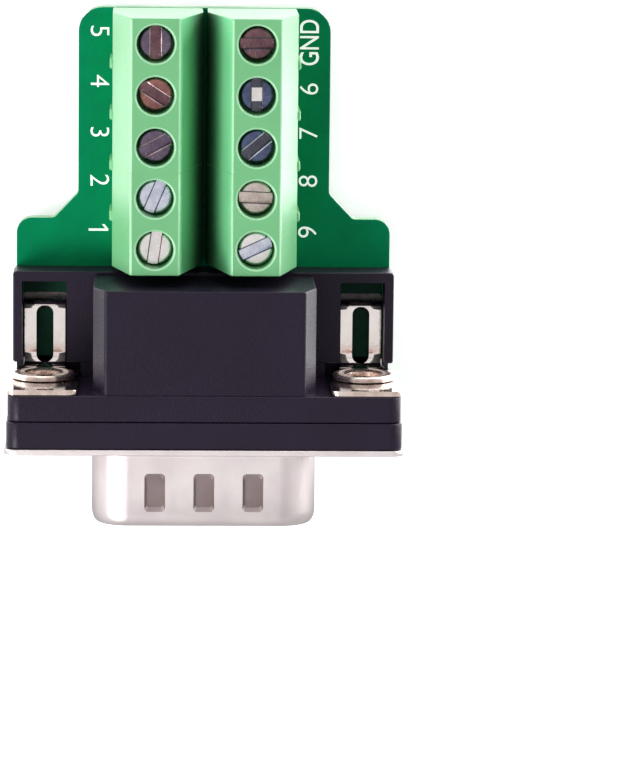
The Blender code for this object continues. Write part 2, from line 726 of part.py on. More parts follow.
def block_mesh():
    """Terminal housing: a sloped bar with a screw well, a clamp cavity and a wire entry for each pole."""
    tan = math.tan(BLOCK_SLOPE)
    top_inner = SCREW_X - BLOCK_TOP_WIDTH / 2
    top_outer = SCREW_X + BLOCK_TOP_WIDTH / 2
    section = [
        (BLOCK_INNER, SEAT_GAP),
        (BLOCK_OUTER, SEAT_GAP),
        (BLOCK_OUTER, BLOCK_HEIGHT - (BLOCK_OUTER - top_outer) / tan),
        (top_outer, BLOCK_HEIGHT),
        (top_inner, BLOCK_HEIGHT),
        (BLOCK_INNER, BLOCK_HEIGHT - (top_inner - BLOCK_INNER) / tan),
    ]
    half = BLOCK_LENGTH / 2
    bar = solid([upright(section, -half), upright(section, half)])

    rib_low = (BLOCK_OUTER - RIB_HEIGHT, -RIB_WIDTH / 2, 2 * SEAT_GAP)
    rib_high = (BLOCK_OUTER + RIB_HEIGHT, RIB_WIDTH / 2, section[2][1])
    joints = [(0, along + POLE_PITCH / 2, 0) for along in pole_places()[:-1]]
    poles = [(0, along, 0) for along in pole_places()]
    wells = [(SCREW_X, along, 0) for along in pole_places()]

    shank = bored(SHANK_DIAMETER + 2 * SLIDE_GAP, ROUND)
    well = bored(HEAD_DIAMETER + 3 * SLIDE_GAP, ROUND)
    profile = [
        (shank, CAVITY_TOP - SHELF),
        (shank, SCREW_SEAT),
        (well, SCREW_SEAT),
        (well, BLOCK_HEIGHT - WELL_CHAMFER),
        (well + 2 * WELL_CHAMFER, BLOCK_HEIGHT + WELL_CHAMFER),
    ]
    cavity = box((CAVITY_INNER, -CAVITY_WIDTH / 2, -THROUGH), (CAVITY_OUTER, CAVITY_WIDTH / 2, CAVITY_TOP))
    steps = [
        ("UNION", repeated(box(rib_low, rib_high), joints)),
        ("DIFFERENCE", repeated(cavity, poles)),
        ("DIFFERENCE", repeated(turned(profile, ROUND), wells)),
        ("DIFFERENCE", repeated(entry_mesh(), poles)),
    ]
    return combined(bar, steps)


def entry_mesh():
    """Tool for one wire entry: a square way into the cavity that flares at the outside."""
    corner = 3 * SLIDE_GAP
    flare_start = BLOCK_OUTER - ENTRY_FLARE_DEPTH
    rings = []
    for x, grow in (
        (CAVITY_OUTER - RUN_GAP, 0),
        (flare_start, 0),
        (BLOCK_OUTER, ENTRY_FLARE),
        (BLOCK_OUTER + ENTRY_FLARE, ENTRY_FLARE),
    ):
        outline = rectangle(ENTRY_WIDTH + 2 * grow, WINDOW_BOTTOM - grow, JAW_BOTTOM + grow, corner)
        rings.append(across(rounded(outline, ARC_STEPS - 1), x))
    return solid(rings)


def screw_mesh():
    """Slotted cheese head clamp screw, its origin on its axis at the underside of the head."""
    head = HEAD_DIAMETER / 2
    shank = SHANK_DIAMETER / 2
    length = SCREW_SEAT + SEAT_GAP - JAW_TOP - 2 * RUN_GAP
    profile = [
        (shank, -length),
        (shank, 0),
        (head, 0),
        (head, HEAD_HEIGHT - HEAD_CHAMFER),
        (head - HEAD_CHAMFER, HEAD_HEIGHT),
    ]
    slot = box(
        (-HEAD_DIAMETER, -SLOT_WIDTH / 2, HEAD_HEIGHT - SLOT_DEPTH),
        (HEAD_DIAMETER, SLOT_WIDTH / 2, HEAD_HEIGHT + THROUGH),
    )
    return combined(turned(profile, ROUND), [("DIFFERENCE", slot)])


def cage_mesh():
    """Rising clamp: a square tube open towards the wire, its thick roof bored for the screw."""
    height = CAGE_TOP - CAGE_BOTTOM
    outer = rounded(rectangle(CAGE_WIDTH, 0, height))
    window_top = WINDOW_TOP - CAGE_BOTTOM
    inner = rounded(rectangle(CAGE_WIDTH - 2 * CAGE_WALL, CAGE_WALL, window_top))
    half = CAGE_DEPTH / 2
    rings = [across(outer, -half), across(outer, half), across(inner, half), across(inner, -half)]
    radius = bored(SHANK_DIAMETER + SLIDE_GAP, ROUND)
    bore = turned([(radius, window_top - RUN_GAP), (radius, height + RUN_GAP)], ROUND)
    return combined(solid(rings, hollow=True), [("DIFFERENCE", bore)])


def strip_mesh():
    """Fixed jaw and solder pin of one pole, bent from one strip; the origin is over the board's hole."""
    jaw_z = JAW_BOTTOM + STRIP_SHEET / 2
    foot_z = STRIP_LIFT + STRIP_SHEET / 2
    jaw_end = SCREW_X + CAGE_DEPTH / 2 - PIN_X
    leg = LEG_X - PIN_X
    bends = [(leg, jaw_z, STRIP_BEND), (leg, foot_z, STRIP_BEND), (0, foot_z, STRIP_BEND)]
    track = [(jaw_end, jaw_z, 0), *bends, (0, foot_z - STRIP_BEND - SEAT_GAP, 0)]
    sheet = STRIP_SHEET / 2
    corner = STRIP_CORNER
    points = rounded(track, 1)[:-1]
    widths = [STRIP_WIDTH / 2] * (len(points) - 1) + [TERMINAL_PIN_WIDTH / 2]
    stations = [((p[0], 0, p[1]), width, sheet, corner) for p, width in zip(points, widths)]
    stations += soldered_end(lambda z: (0, 0, z), (TERMINAL_PIN_WIDTH / 2, sheet, corner))
    return swept(stations, Vector((0, 1, 0)), 2)


# Assembly


def place(name, mesh, material, location, turn=0.0):
    """A named piece under the adapter's empty, smooth where it is round."""
    item = bpy.data.objects.new(name, mesh)
    if not mesh.materials:
        mesh.materials.append(material)
        mesh.shade_smooth()
        mesh.set_sharp_from_angle(angle=math.radians(35))
    item.location = location
    item.rotation_euler = (0, 0, turn)
    item.parent = bpy.data.objects["adapter"]
    bpy.context.scene.collection.objects.link(item)
    return item


def build_plug(black, nickel, steel, gold):
    axis = (0, FLANGE_Y, AXIS_Z)
    place("plug_shell", shell_mesh(), nickel, axis)
    place("pin_insulator", insulator_mesh(), black, axis)
    place("rear_housing", housing_mesh(), black, axis)
    upper = contact_mesh(UPPER_TAIL_Y, ROW_SPACING / 2)
    lower = contact_mesh(LOWER_TAIL_Y, -ROW_SPACING / 2)
    places = [(x, upper, ROW_SPACING / 2) for x in row_places(UPPER_WAYS)]
    places += [(x, lower, -ROW_SPACING / 2) for x in row_places(LOWER_WAYS)]
    for number, (x, mesh, row) in enumerate(places, 1):
        place(f"contact_{number}", mesh, gold, (x, FLANGE_Y, AXIS_Z + row))
    insert = insert_mesh()
    lock = lock_mesh()
    for side, word in ((-1, "left"), (1, "right")):
        x = side * FIXING_SPACING / 2
        place(f"threaded_insert_{word}", insert, steel, (x, FLANGE_Y, AXIS_Z))
        place(f"board_lock_{word}", lock, steel, (x, FLANGE_Y + REAR_FLANGE_BACK, BOARD_TOP))


def build_terminals(green, steel, brass):
    block = block_mesh()
    screw = screw_mesh()
    cage = cage_mesh()
    strip = strip_mesh()
    for side, word, poles in ((-1, "left", LEFT_POLES), (1, "right", RIGHT_POLES)):
        turn = 0.0 if side > 0 else math.pi
        place(f"terminal_housing_{word}", block, green, (0, BLOCK_Y, BOARD_TOP), turn)
        for (label, slot_angle), along in zip(poles, pole_places()):
            y = BLOCK_Y + along
            seat = BOARD_TOP + SCREW_SEAT + SEAT_GAP
            place(f"screw_{label}", screw, steel, (side * SCREW_X, y, seat), math.radians(slot_angle))
            place(f"clamp_{label}", cage, brass, (side * SCREW_X, y, BOARD_TOP + CAGE_BOTTOM), turn)
            place(f"terminal_pin_{label}", strip, brass, (side * PIN_X, y, BOARD_TOP), turn)


def main():
    clear_scene()
    bpy.context.scene.collection.objects.link(bpy.data.objects.new("adapter", None))
    black = finish("black_moulding", (42, 36, 46), 0.55, 0.0)
    green = finish("terminal_green", (124, 200, 130), 0.45, 0.0)
    mask = finish("board_green", (0, 118, 62), 0.4, 0.0)
    nickel = finish("satin_nickel", (214, 204, 204), 0.35, 1.0)
    steel = finish("plated_steel", (188, 180, 176), 0.3, 1.0)
    brass = finish("tinned_brass", (196, 190, 178), 0.35, 1.0)
    gold = finish("contact_gold", (212, 178, 104), 0.3, 1.0)
    place("circuit_board", board_mesh(), mask, (0, BOARD_Y, TAIL_DROP))
    build_plug(black, nickel, steel, gold)
    build_terminals(green, steel, brass)


main()
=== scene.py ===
# %% [markdown]
# # D-sub terminal block adapter
# A nine way right angle plug sits on the front of a small green board, and two rows of five screw
# terminals fill its neck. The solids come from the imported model. Each of them gets a finer twin here,
# made at the same place, with the finish of the real material. Copper, ink and solder that are too
# thin for solids are laid on as pieces of their own.

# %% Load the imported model
import math

import bmesh
import bpy
from mathutils import Matrix, Vector


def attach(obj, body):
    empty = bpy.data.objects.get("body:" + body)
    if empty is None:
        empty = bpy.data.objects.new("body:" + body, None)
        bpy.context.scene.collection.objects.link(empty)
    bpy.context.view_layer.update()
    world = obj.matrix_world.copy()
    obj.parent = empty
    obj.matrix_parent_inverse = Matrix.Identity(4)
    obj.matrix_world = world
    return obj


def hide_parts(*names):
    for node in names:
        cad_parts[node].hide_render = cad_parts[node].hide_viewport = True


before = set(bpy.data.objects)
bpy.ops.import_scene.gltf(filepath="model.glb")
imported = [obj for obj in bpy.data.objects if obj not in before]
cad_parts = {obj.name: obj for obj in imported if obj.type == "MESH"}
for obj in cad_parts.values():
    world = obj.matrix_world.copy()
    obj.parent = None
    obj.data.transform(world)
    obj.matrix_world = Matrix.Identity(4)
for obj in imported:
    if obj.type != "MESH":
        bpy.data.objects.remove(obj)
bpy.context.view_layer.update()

# %% [markdown]
# ## Sizes
# All sizes are in millimetres, since the whole adapter is smaller than a matchbox, and each mesh is
# scaled to metres once, when it becomes a piece. They repeat the sizes of the solids, so that each
# piece lands on the solid it stands for. Only a few edges and corners were fitted to the picture.

# %% Sizes in millimetres
MM = 0.001
# Clearances of pieces that seat, slide and turn in one another.
SEAT_GAP, SLIDE_GAP, RUN_GAP = 0.03, 0.1, 0.15
BOARD_TOP, BOARD_THICK = 2.9, 1.6
AXIS_HEIGHT = 6.3
AXIS = Vector((0.0, -13.8, BOARD_TOP + AXIS_HEIGHT))
BOARD_SETBACK = 1.85
BOARD_Y = AXIS.y + BOARD_SETBACK
BLOCK_Y = 9.77
POLE_PITCH = 3.96
POLES = [(index - 2) * POLE_PITCH for index in range(5)]
SCREW_X, PIN_X = 3.89, 3.51
CONTACT_PITCH, ROW_SPACING = 2.77, 2.84
FIXING_X = 12.495
UPPER_ROW = [(index - 2) * CONTACT_PITCH for index in range(5)]
LOWER_ROW = [(index - 1.5) * CONTACT_PITCH for index in range(4)]
LOWER_TAIL, UPPER_TAIL = 8.82, 11.66
SIDES = ((-1, "left"), (1, "right"))
# Names of the terminals from the plug backwards, each with the turn of its screw's slot in degrees.
LEFT_POLES = (("1", 82), ("2", 67), ("3", 28), ("4", -33), ("5", 90))
RIGHT_POLES = (("9", 25), ("8", -2), ("7", 40), ("6", 90), ("gnd", 0))
TERMINALS = ((-1, LEFT_POLES), (1, RIGHT_POLES))
print("poles at", [round(BLOCK_Y + y, 2) for y in POLES])

# %% [markdown]
# ## Outlines
# Nearly everything on a connector is a flat outline pushed along one axis, so the first tools draw
# outlines: corners with a radius, circles, and an outline moved inwards. The last one rounds an edge:
# a plate whose first and last rings step inwards catches the thin highlight that a moulded edge has.

# %% Draw arcs, corners and circles
ARC = 8
ROUND = 40


def quarter(steps):
    """Pairs (sine, cosine) that lead round a quarter turn."""
    angles = [math.pi / 2 * index / steps for index in range(steps + 1)]
    return [(math.sin(angle), math.cos(angle)) for angle in angles]


def rounded(corners, steps=ARC):
    """Points along (u, v, radius) corners, each radius becoming an arc."""
    points = []
    for index, (u, v, radius) in enumerate(corners):
        corner = Vector((u, v))
        if radius == 0:
            points.append(corner)
            continue
        back = (Vector(corners[index - 1][:2]) - corner).normalized()
        ahead = (Vector(corners[(index + 1) % len(corners)][:2]) - corner).normalized()
        half = back.angle(ahead) / 2
        centre = corner + (back + ahead).normalized() * (radius / math.sin(half))
        spoke = corner + back * (radius / math.tan(half)) - centre
        side = 1 if back.x * ahead.y - back.y * ahead.x < 0 else -1
        turn = side * (math.pi - 2 * half)
        for step in range(steps + 1):
            points.append(centre + Matrix.Rotation(turn * step / steps, 2) @ spoke)
    return points


def rectangle(width, low, high, radius=0.0):
    """Corners of a rectangle that is centred in u and runs from low to high in v."""
    half = width / 2
    return [(-half, low, radius), (half, low, radius), (half, high, radius), (-half, high, radius)]


def circle(radius, count=ROUND, centre=(0.0, 0.0)):
    """Points round a circle, the first half a step on."""
    angles = [2 * math.pi * (index + 0.5) / count for index in range(count)]
    return [Vector((centre[0] + radius * math.cos(a), centre[1] + radius * math.sin(a))) for a in angles]


print("a circle has", len(circle(1.0)), "points")

# %% Move and place outlines


def inset(outline, distance):
    """The anticlockwise outline moved inwards."""
    moved = []
    for index, here in enumerate(outline):
        back = (here - outline[index - 1]).normalized()
        ahead = (outline[(index + 1) % len(outline)] - here).normalized()
        normal = Vector((-back.y - ahead.y, back.x + ahead.x)).normalized()
        lean = max(0.4, normal.dot(Vector((-back.y, back.x))))
        moved.append(here + normal * distance / lean)
    return moved


def level(outline, height):
    """The outline lying flat at a height."""
    return [Vector((p[0], p[1], height)) for p in outline]


def upright(outline, depth):
    """The outline standing square to the y axis."""
    return [Vector((p[0], depth, p[1])) for p in outline]


def across(outline, place):
    """The outline standing square to the x axis."""
    return [Vector((place, p[0], p[1])) for p in outline]


print("an inset of 0.1 leaves a radius of", round(inset(circle(1.0), 0.1)[0].length, 2))

# %% [markdown]
# ## Solids
# Rings of points become closed meshes, and the exact Boolean modifier cuts wells, slots and bores into
# them, as a mould or a drill would. Modelling by hand would give the same faces, but a list of cuts
# says what each hole is for.

# %% Make a mesh from rings


def to_mesh(shape):
    """Mesh made from a shape, which is then freed."""
    mesh = bpy.data.meshes.new("shape")
    shape.to_mesh(mesh)
    shape.free()
    return mesh


def solid(rings, hollow=False):
    """Closed mesh through rings of equal count, joined last to first when hollow."""
    shape = bmesh.new()
    loops = [[shape.verts.new(point) for point in ring] for ring in rings]
    pairs = list(zip(loops, loops[1:]))
    if hollow:
        pairs.append((loops[-1], loops[0]))
    else:
        shape.faces.new(loops[0])
        shape.faces.new(loops[-1])
    for low, high in pairs:
        for index in range(len(low)):
            after = (index + 1) % len(low)
            shape.faces.new((low[index], low[after], high[after], high[index]))
    bmesh.ops.recalc_face_normals(shape, faces=shape.faces)
    return to_mesh(shape)


def eased(outline, low, high, ease, draw, both=True):
    """Plate through an outline, with its rims rounded by ease."""
    rings = [draw(inset(outline, ease * (1 - s)), low + ease * (1 - c)) for s, c in quarter(3)]
    if not both:
        rings = [draw(outline, low)]
    rings += [draw(inset(outline, ease * (1 - c)), high - ease * (1 - s)) for s, c in quarter(3)]
    return solid(rings)


print("ready to join rings")

# %% Round, long and square meshes, and sets of them


def turned(profile, count=ROUND):
    """Round solid about the z axis through (radius, height) places."""
    return solid([level(circle(radius, count), height) for radius, height in profile])


def bar_along_y(radius, start, end, x=0.0, z=0.0, count=24):
    """Round bar from start to end."""
    outline = circle(radius, count, (x, z))
    return solid([upright(outline, start), upright(outline, end)])


def box(low, high):
    """Block between two opposite corners."""
    outline = [(low[0], low[1]), (high[0], low[1]), (high[0], high[1]), (low[0], high[1])]
    return solid([level(outline, low[2]), level(outline, high[2])])


def gathered(meshes, offsets=((0, 0, 0),)):
    """One mesh that holds every shape at every offset."""
    shape = bmesh.new()
    for mesh in meshes:
        for offset in offsets:
            known = len(shape.verts)
            shape.from_mesh(mesh)
            shape.verts.ensure_lookup_table()
            bmesh.ops.translate(shape, verts=shape.verts[known:], vec=offset)
    return to_mesh(shape)


print("ready to make meshes, with", ROUND, "sides to a circle")

# %% Combine meshes


def combined(body, steps):
    """The body after each (operation, tool) step."""
    scene = bpy.context.scene.collection
    work = bpy.data.objects.new("work", body)
    scene.objects.link(work)
    tools = []
    for operation, mesh in steps:
        tool = bpy.data.objects.new("tool", mesh)
        tool.hide_render = True
        tool.display_type = "WIRE"
        scene.objects.link(tool)
        modifier = work.modifiers.new(operation.title(), "BOOLEAN")
        modifier.operation = operation
        modifier.solver = "EXACT"
        modifier.object = tool
        tools.append(tool)
    bpy.context.view_layer.update()
    result = bpy.data.meshes.new_from_object(work.evaluated_get(bpy.context.evaluated_depsgraph_get()))
    for item in [work, *tools]:
        bpy.data.objects.remove(item, do_unlink=True)
    return result


def cut(body, *tools):
    """The body after each tool has been cut out of it."""
    return combined(body, [("DIFFERENCE", tool) for tool in tools])


print("ready to combine meshes")

# %% [markdown]
# ## Effects that several finishes share
# Real surfaces differ from flat colour in a few ways that come back on every material: a slow drift of
# tone, a fine grain that breaks the shine, long streaks left by rolling or drawing, and odd scratches.
# Each is a node group with named inputs, so one mend improves every finish that uses it.

# %% Node group helpers


def new_group(name, inputs, outputs):
    """A group with named sockets, and its nodes for what goes in and comes out."""
    group = bpy.data.node_groups.new(name, "ShaderNodeTree")
    for title, kind, value in inputs:
        socket = group.interface.new_socket(name=title, in_out="INPUT", socket_type=kind)
        socket.default_value = value
    for title, kind in outputs:
        group.interface.new_socket(name=title, in_out="OUTPUT", socket_type=kind)
    return group, group.nodes.new("NodeGroupInput"), group.nodes.new("NodeGroupOutput")


def add(tree, kind, settings=None, **inputs):
    """A node with its properties and its input values set; a value may be another node's output."""
    node = tree.nodes.new(kind)
    for key, value in (settings or {}).items():
        setattr(node, key, value)
    for key, value in inputs.items():
        name = key.replace("_", " ")
        target = node.inputs[int(name[1:])] if name[0] == "n" and name[1:].isdigit() else node.inputs[name]
        if isinstance(value, bpy.types.NodeSocket):
            tree.links.new(value, target)
        else:
            target.default_value = value
    return node


FLOAT, COLOUR, VECTOR = "NodeSocketFloat", "NodeSocketColor", "NodeSocketVector"
print("kinds of socket:", FLOAT, COLOUR, VECTOR)

# %% Groups for tone, grain and streaks


def tone_drift():
    """Slow change between two tones."""
    inputs = [("Tone A", COLOUR, (1, 1, 1, 1)), ("Tone B", COLOUR, (0, 0, 0, 1)), ("Scale", FLOAT, 200.0)]
    group, start, end = new_group("tone drift", inputs, [("Color", COLOUR)])
    given = start.outputs
    place = add(group, "ShaderNodeTexCoord").outputs["Object"]
    noise = add(group, "ShaderNodeTexNoise", Vector=place, Scale=given["Scale"], Detail=4.0)
    wide = add(group, "ShaderNodeMapRange", Value=noise.outputs["Fac"], From_Min=0.35, From_Max=0.65)
    mix = add(group, "ShaderNodeMix", {"data_type": "RGBA"}, n0=wide.outputs["Result"],
              n6=given["Tone A"], n7=given["Tone B"])
    group.links.new(mix.outputs[2], end.inputs["Color"])
    return group


def fine_grain():
    """Small grain of a spark eroded mould or a satin plate."""
    group, start, end = new_group("fine grain", [("Scale", FLOAT, 9000.0)], [("Height", FLOAT)])
    place = add(group, "ShaderNodeTexCoord").outputs["Object"]
    noise = add(group, "ShaderNodeTexNoise", Vector=place, Scale=start.outputs["Scale"], Detail=2.0)
    group.links.new(noise.outputs["Fac"], end.inputs["Height"])
    return group


def drawn_streaks():
    """Long streaks along one axis, stretched by the given scale of each axis."""
    group, start, end = new_group("drawn streaks", [("Stretch", VECTOR, (1, 1, 1))], [("Mask", FLOAT)])
    place = add(group, "ShaderNodeTexCoord").outputs["Object"]
    scaled = add(group, "ShaderNodeVectorMath", {"operation": "MULTIPLY"}, n0=place,
                 n1=start.outputs["Stretch"])
    noise = add(group, "ShaderNodeTexNoise", Vector=scaled.outputs["Vector"], Scale=1.0, Detail=3.0)
    group.links.new(noise.outputs["Fac"], end.inputs["Mask"])
    return group


DRIFT, GRAIN, STREAKS = tone_drift(), fine_grain(), drawn_streaks()
print("node groups:", [group.name for group in bpy.data.node_groups])

# %% Groups for scratches and shade


def odd_scratches():
    """Thin lines here and there, where the edges of large cells run."""
    inputs = [("Scale", FLOAT, 500.0), ("Width", FLOAT, 0.02)]
    group, start, end = new_group("odd scratches", inputs, [("Mask", FLOAT)])
    scale, width = start.outputs["Scale"], start.outputs["Width"]
    place = add(group, "ShaderNodeTexCoord").outputs["Object"]
    scaled = add(group, "ShaderNodeVectorMath", {"operation": "MULTIPLY"}, n0=place, n1=(1.0, 0.35, 0.6))
    cells = add(group, "ShaderNodeTexVoronoi", {"feature": "DISTANCE_TO_EDGE"},
                Vector=scaled.outputs["Vector"], Scale=scale)
    thin = add(group, "ShaderNodeMapRange", Value=cells.outputs["Distance"], From_Max=width,
               To_Min=1.0, To_Max=0.0)
    patchy = add(group, "ShaderNodeTexNoise", Vector=place, Scale=scale, Detail=1.0)
    some = add(group, "ShaderNodeMapRange", Value=patchy.outputs["Fac"], From_Min=0.5, From_Max=0.6)
    both = add(group, "ShaderNodeMath", {"operation": "MULTIPLY"}, n0=thin.outputs["Result"],
               n1=some.outputs["Result"])
    group.links.new(both.outputs["Value"], end.inputs["Mask"])
    return group


def shade_along_an_axis():
    """Brightness that changes from a low to a high place of the piece along one direction."""
    inputs = [("Low", FLOAT, 0.0), ("High", FLOAT, 0.01), ("Dark", FLOAT, 0.2), ("Light", FLOAT, 1.0)]
    inputs.append(("Direction", VECTOR, (0, 0, 1)))
    group, start, end = new_group("shade along an axis", inputs, [("Factor", FLOAT)])
    given = start.outputs
    place = add(group, "ShaderNodeTexCoord").outputs["Object"]
    along = add(group, "ShaderNodeVectorMath", {"operation": "DOT_PRODUCT"}, n0=place, n1=given["Direction"])
    ramp = add(group, "ShaderNodeMapRange", {"interpolation_type": "SMOOTHSTEP"},
               Value=along.outputs["Value"], From_Min=given["Low"], From_Max=given["High"],
               To_Min=given["Dark"], To_Max=given["Light"])
    group.links.new(ramp.outputs["Result"], end.inputs["Factor"])
    return group


SCRATCHES, SHADE = odd_scratches(), shade_along_an_axis()
print("node groups:", [group.name for group in bpy.data.node_groups])

# %% [markdown]
# ## Finishes
# A moulded plastic is one colour with a slow drift and a grain in its shine. A plated sheet is a metal
# with streaks and small scratches. One helper builds both kinds, because the shader is the same and
# only the tones, the shine and the marks differ. Two of its choices paint the shade that a studio's
# light leaves on a small part: a gap is painted darker towards its floor, and a bright sheet is painted
# darker where it turns away.

# %% Helpers for finishes


def linear(colour):
    """Linear colour from sRGB values of 0 to 255."""
    return (*[((value / 255 + 0.055) / 1.055) ** 2.4 for value in colour], 1.0)


def use(tree, group, **inputs):
    """A group placed in a tree with its own values."""
    node = tree.nodes.new("ShaderNodeGroup")
    node.node_tree = group
    for key, value in inputs.items():
        node.inputs[key.replace("_", " ")].default_value = value
    return node


def dimmed(tree, colour, factor):
    """Colour output multiplied by a number output."""
    node = add(tree, "ShaderNodeVectorMath", {"operation": "SCALE"}, n0=colour, Scale=factor)
    return node.outputs["Vector"]


print("white in linear values:", linear((255, 255, 255)))

# %% Build a finish


def finish(name, tones, shine, metal=0.0, drift=250.0, grain=9000.0, bump=0.02, streaks=None, scratches=0.0,
           gloss=0.5, depth=None, turned_away=1.0):
    """Material from two sRGB tones and two roughnesses, with scales per metre and a bump in millimetres.

    The depth (low, high, dark, light, direction) paints shade by place, and turned_away by the angle of
    view.
    """
    made = bpy.data.materials.new(name)
    made.use_nodes = True
    tree = made.node_tree
    shader = tree.nodes["Principled BSDF"]
    shader.inputs["Metallic"].default_value = metal
    shader.inputs["Specular IOR Level"].default_value = gloss
    colour = use(tree, DRIFT, Tone_A=linear(tones[0]), Tone_B=linear(tones[1]), Scale=drift)
    surface = colour.outputs["Color"]
    # Painted shade by place, along one direction.
    if depth:
        low, high, dark, light, along = depth
        shade = use(tree, SHADE, Low=low * MM, High=high * MM, Dark=dark, Light=light, Direction=along)
        surface = dimmed(tree, surface, shade.outputs["Factor"])
    # Painted shade where the face turns away from the eye.
    if turned_away < 1.0:
        facing = add(tree, "ShaderNodeLayerWeight").outputs["Facing"]
        dim = add(tree, "ShaderNodeMapRange", Value=facing, From_Min=0.12, From_Max=0.8,
                  To_Min=1.0, To_Max=turned_away)
        surface = dimmed(tree, surface, dim.outputs["Result"])
    rough = use(tree, GRAIN, Scale=grain).outputs["Height"]
    height = rough
    if streaks:
        marks = use(tree, STREAKS, Stretch=streaks).outputs["Mask"]
        mixed = add(tree, "ShaderNodeMath", {"operation": "MULTIPLY_ADD"}, n0=marks, n1=0.7, n2=rough)
        height = mixed.outputs["Value"]
        rough = add(tree, "ShaderNodeMath", {"operation": "MULTIPLY"}, n0=height, n1=0.6).outputs["Value"]
    if scratches:
        lines = use(tree, SCRATCHES, Scale=scratches).outputs["Mask"]
        bright = linear([min(255, value + 60) for value in tones[0]])
        pale = add(tree, "ShaderNodeMix", {"data_type": "RGBA"}, n0=lines, n6=surface, n7=bright)
        surface = pale.outputs[2]
        dug = add(tree, "ShaderNodeMath", {"operation": "MULTIPLY_ADD"}, n0=lines, n1=-0.3, n2=height)
        height = dug.outputs["Value"]
    tree.links.new(surface, shader.inputs["Base Color"])
    spread = add(tree, "ShaderNodeMapRange", Value=rough, From_Min=0.3, From_Max=0.7,
                 To_Min=shine[0], To_Max=shine[1])
    tree.links.new(spread.outputs["Result"], shader.inputs["Roughness"])
    relief = add(tree, "ShaderNodeBump", Height=height, Strength=1.0, Distance=bump * MM)
    tree.links.new(relief.outputs["Normal"], shader.inputs["Normal"])
    return made


print("ready to build finishes from", len(bpy.data.node_groups), "groups")

# %% [markdown]
# ## Plastics and board
# The terminals are moulded in pale green and the plug in black, and the board is a laminate under a
# green mask. Some faces get a finish of their own instead of a picture, with light painted into it:
# a painted highlight on the ridges and well rims, and painted shade on the flank in the gap between
# the rows and on the mask round the board locks.

# %% Finishes of plastics and board
MOULDED = {"drift": 180, "grain": 7000}
MASKED = {"drift": 300, "grain": 3000, "bump": 0.01, "gloss": 0.04}
GREEN = finish("pale green moulding", ((120, 198, 136), (112, 190, 128)), (0.3, 0.42), gloss=0.7, **MOULDED)
# Painted highlight: a paler copy of the green for the rounded ridges and the rims of the wells.
RIDGE_HIGHLIGHT = finish("green with painted highlight on ridges and rims", ((176, 234, 186), (166, 224, 176)), (0.25, 0.35), gloss=0.7, **MOULDED)
# Painted shade and light: the flank in the gap is painted darker towards its floor and brighter near its
# top.
INNER = finish("green flank with painted shade in the gap", ((124, 200, 148), (116, 192, 140)), (0.3, 0.42), gloss=0.3,
               depth=(2.8, 10.1, 0.12, 1.5, (0, 0, 1)), **MOULDED)
BLACK = finish("black moulding", ((30, 18, 40), (26, 15, 35)), (0.34, 0.48), drift=200, grain=6000,
               gloss=0.25)
MASK = finish("mask over laminate", ((6, 142, 96), (2, 132, 88)), (0.25, 0.35), **MASKED)
POUR = finish("mask over copper", ((0, 142, 90), (0, 132, 84)), (0.25, 0.35), **MASKED)
POCKET_SHADE = finish("mask with painted shade in the lock pockets", ((26, 64, 50), (20, 54, 42)), (0.25, 0.35), **MASKED)
BELOW = finish("mask in the gaps below", ((4, 104, 66), (2, 96, 60)), (0.25, 0.35), **MASKED)
EDGE = finish("board edge", ((176, 214, 176), (120, 176, 130)), (0.5, 0.7), streaks=(200, 200, 9000))
INK = finish("white ink", ((250, 253, 250), (238, 245, 240)), (0.5, 0.6), grain=12000)
# Ink stays white beside the bright ground, so it glows a little.
glowing = INK.node_tree.nodes["Principled BSDF"].inputs
glowing["Emission Color"].default_value = (1.0, 1.0, 1.0, 1.0)
glowing["Emission Strength"].default_value = 0.45
print("materials so far:", len(bpy.data.materials))

# %% [markdown]
# ## Metals
# Plate, rolled strip, turned steel, tin, solder and gold differ in tone and in shine. Screw heads leave
# the plating bath in many tones, and the light or shade that a slot's edges and floor catch is painted
# in with tones of their own, so nine tones of one steel are named here and dealt out to the screws later.

# %% Finishes of metals
# Painted shade: the nickel darkens towards the skirt's rim along y and where it turns away from the eye.
NICKEL = finish("satin nickel plate", ((240, 230, 230), (230, 218, 219)), (0.34, 0.44), 1.0, 300, 9000, 0.01,
                (900, 300, 900), depth=(-6.2, -2.6, 0.78, 1.0, (0, 1, 0)), turned_away=0.4)
# Painted shade: the floors and walls of the dimples are darker copies of the nickel.
DIMPLE_SHADE = finish("nickel with painted shade in the dimples", ((146, 130, 130), (128, 112, 112)), (0.4, 0.5), 1.0, 300, 9000,
              0.01)
DIMPLE_WALL_SHADE = finish("dimple walls with painted shade", ((206, 192, 192), (190, 176, 176)), (0.4, 0.5), 1.0, 300, 9000, 0.01,
              turned_away=0.4)
# Painted shade where the strip turns away from the eye.
LOCK = finish("bright rolled strip", ((255, 247, 243), (246, 234, 229)), (0.05, 0.12), 1.0, 500, 6000, 0.003,
              (6000, 500, 500), turned_away=0.5)
COLLAR = finish("warm turned steel", ((250, 232, 224), (216, 192, 182)), (0.22, 0.34), 1.0, 900, 5000, 0.004,
                (900, 6000, 900))
SCREW_TONES = {
    "white": ((255, 250, 248), (232, 226, 224)),
    "silver": ((236, 238, 252), (186, 188, 208)),
    "taupe": ((226, 212, 204), (176, 160, 152)),
    "slate": ((96, 96, 108), (70, 70, 82)),
    "pink": ((214, 186, 190), (150, 124, 128)),
    "violet": ((126, 110, 130), (84, 72, 92)),
    "rosy": ((134, 100, 106), (88, 64, 72)),
    "rust": ((168, 116, 110), (112, 78, 78)),
    "navy": ((100, 108, 140), (62, 68, 96)),
}
STEELS = {
    name: finish(f"{name} screw steel", tones, (0.16, 0.3), 1.0, 900, 7000, 0.005, (900, 6000, 900), 1500)
    for name, tones in SCREW_TONES.items()
}
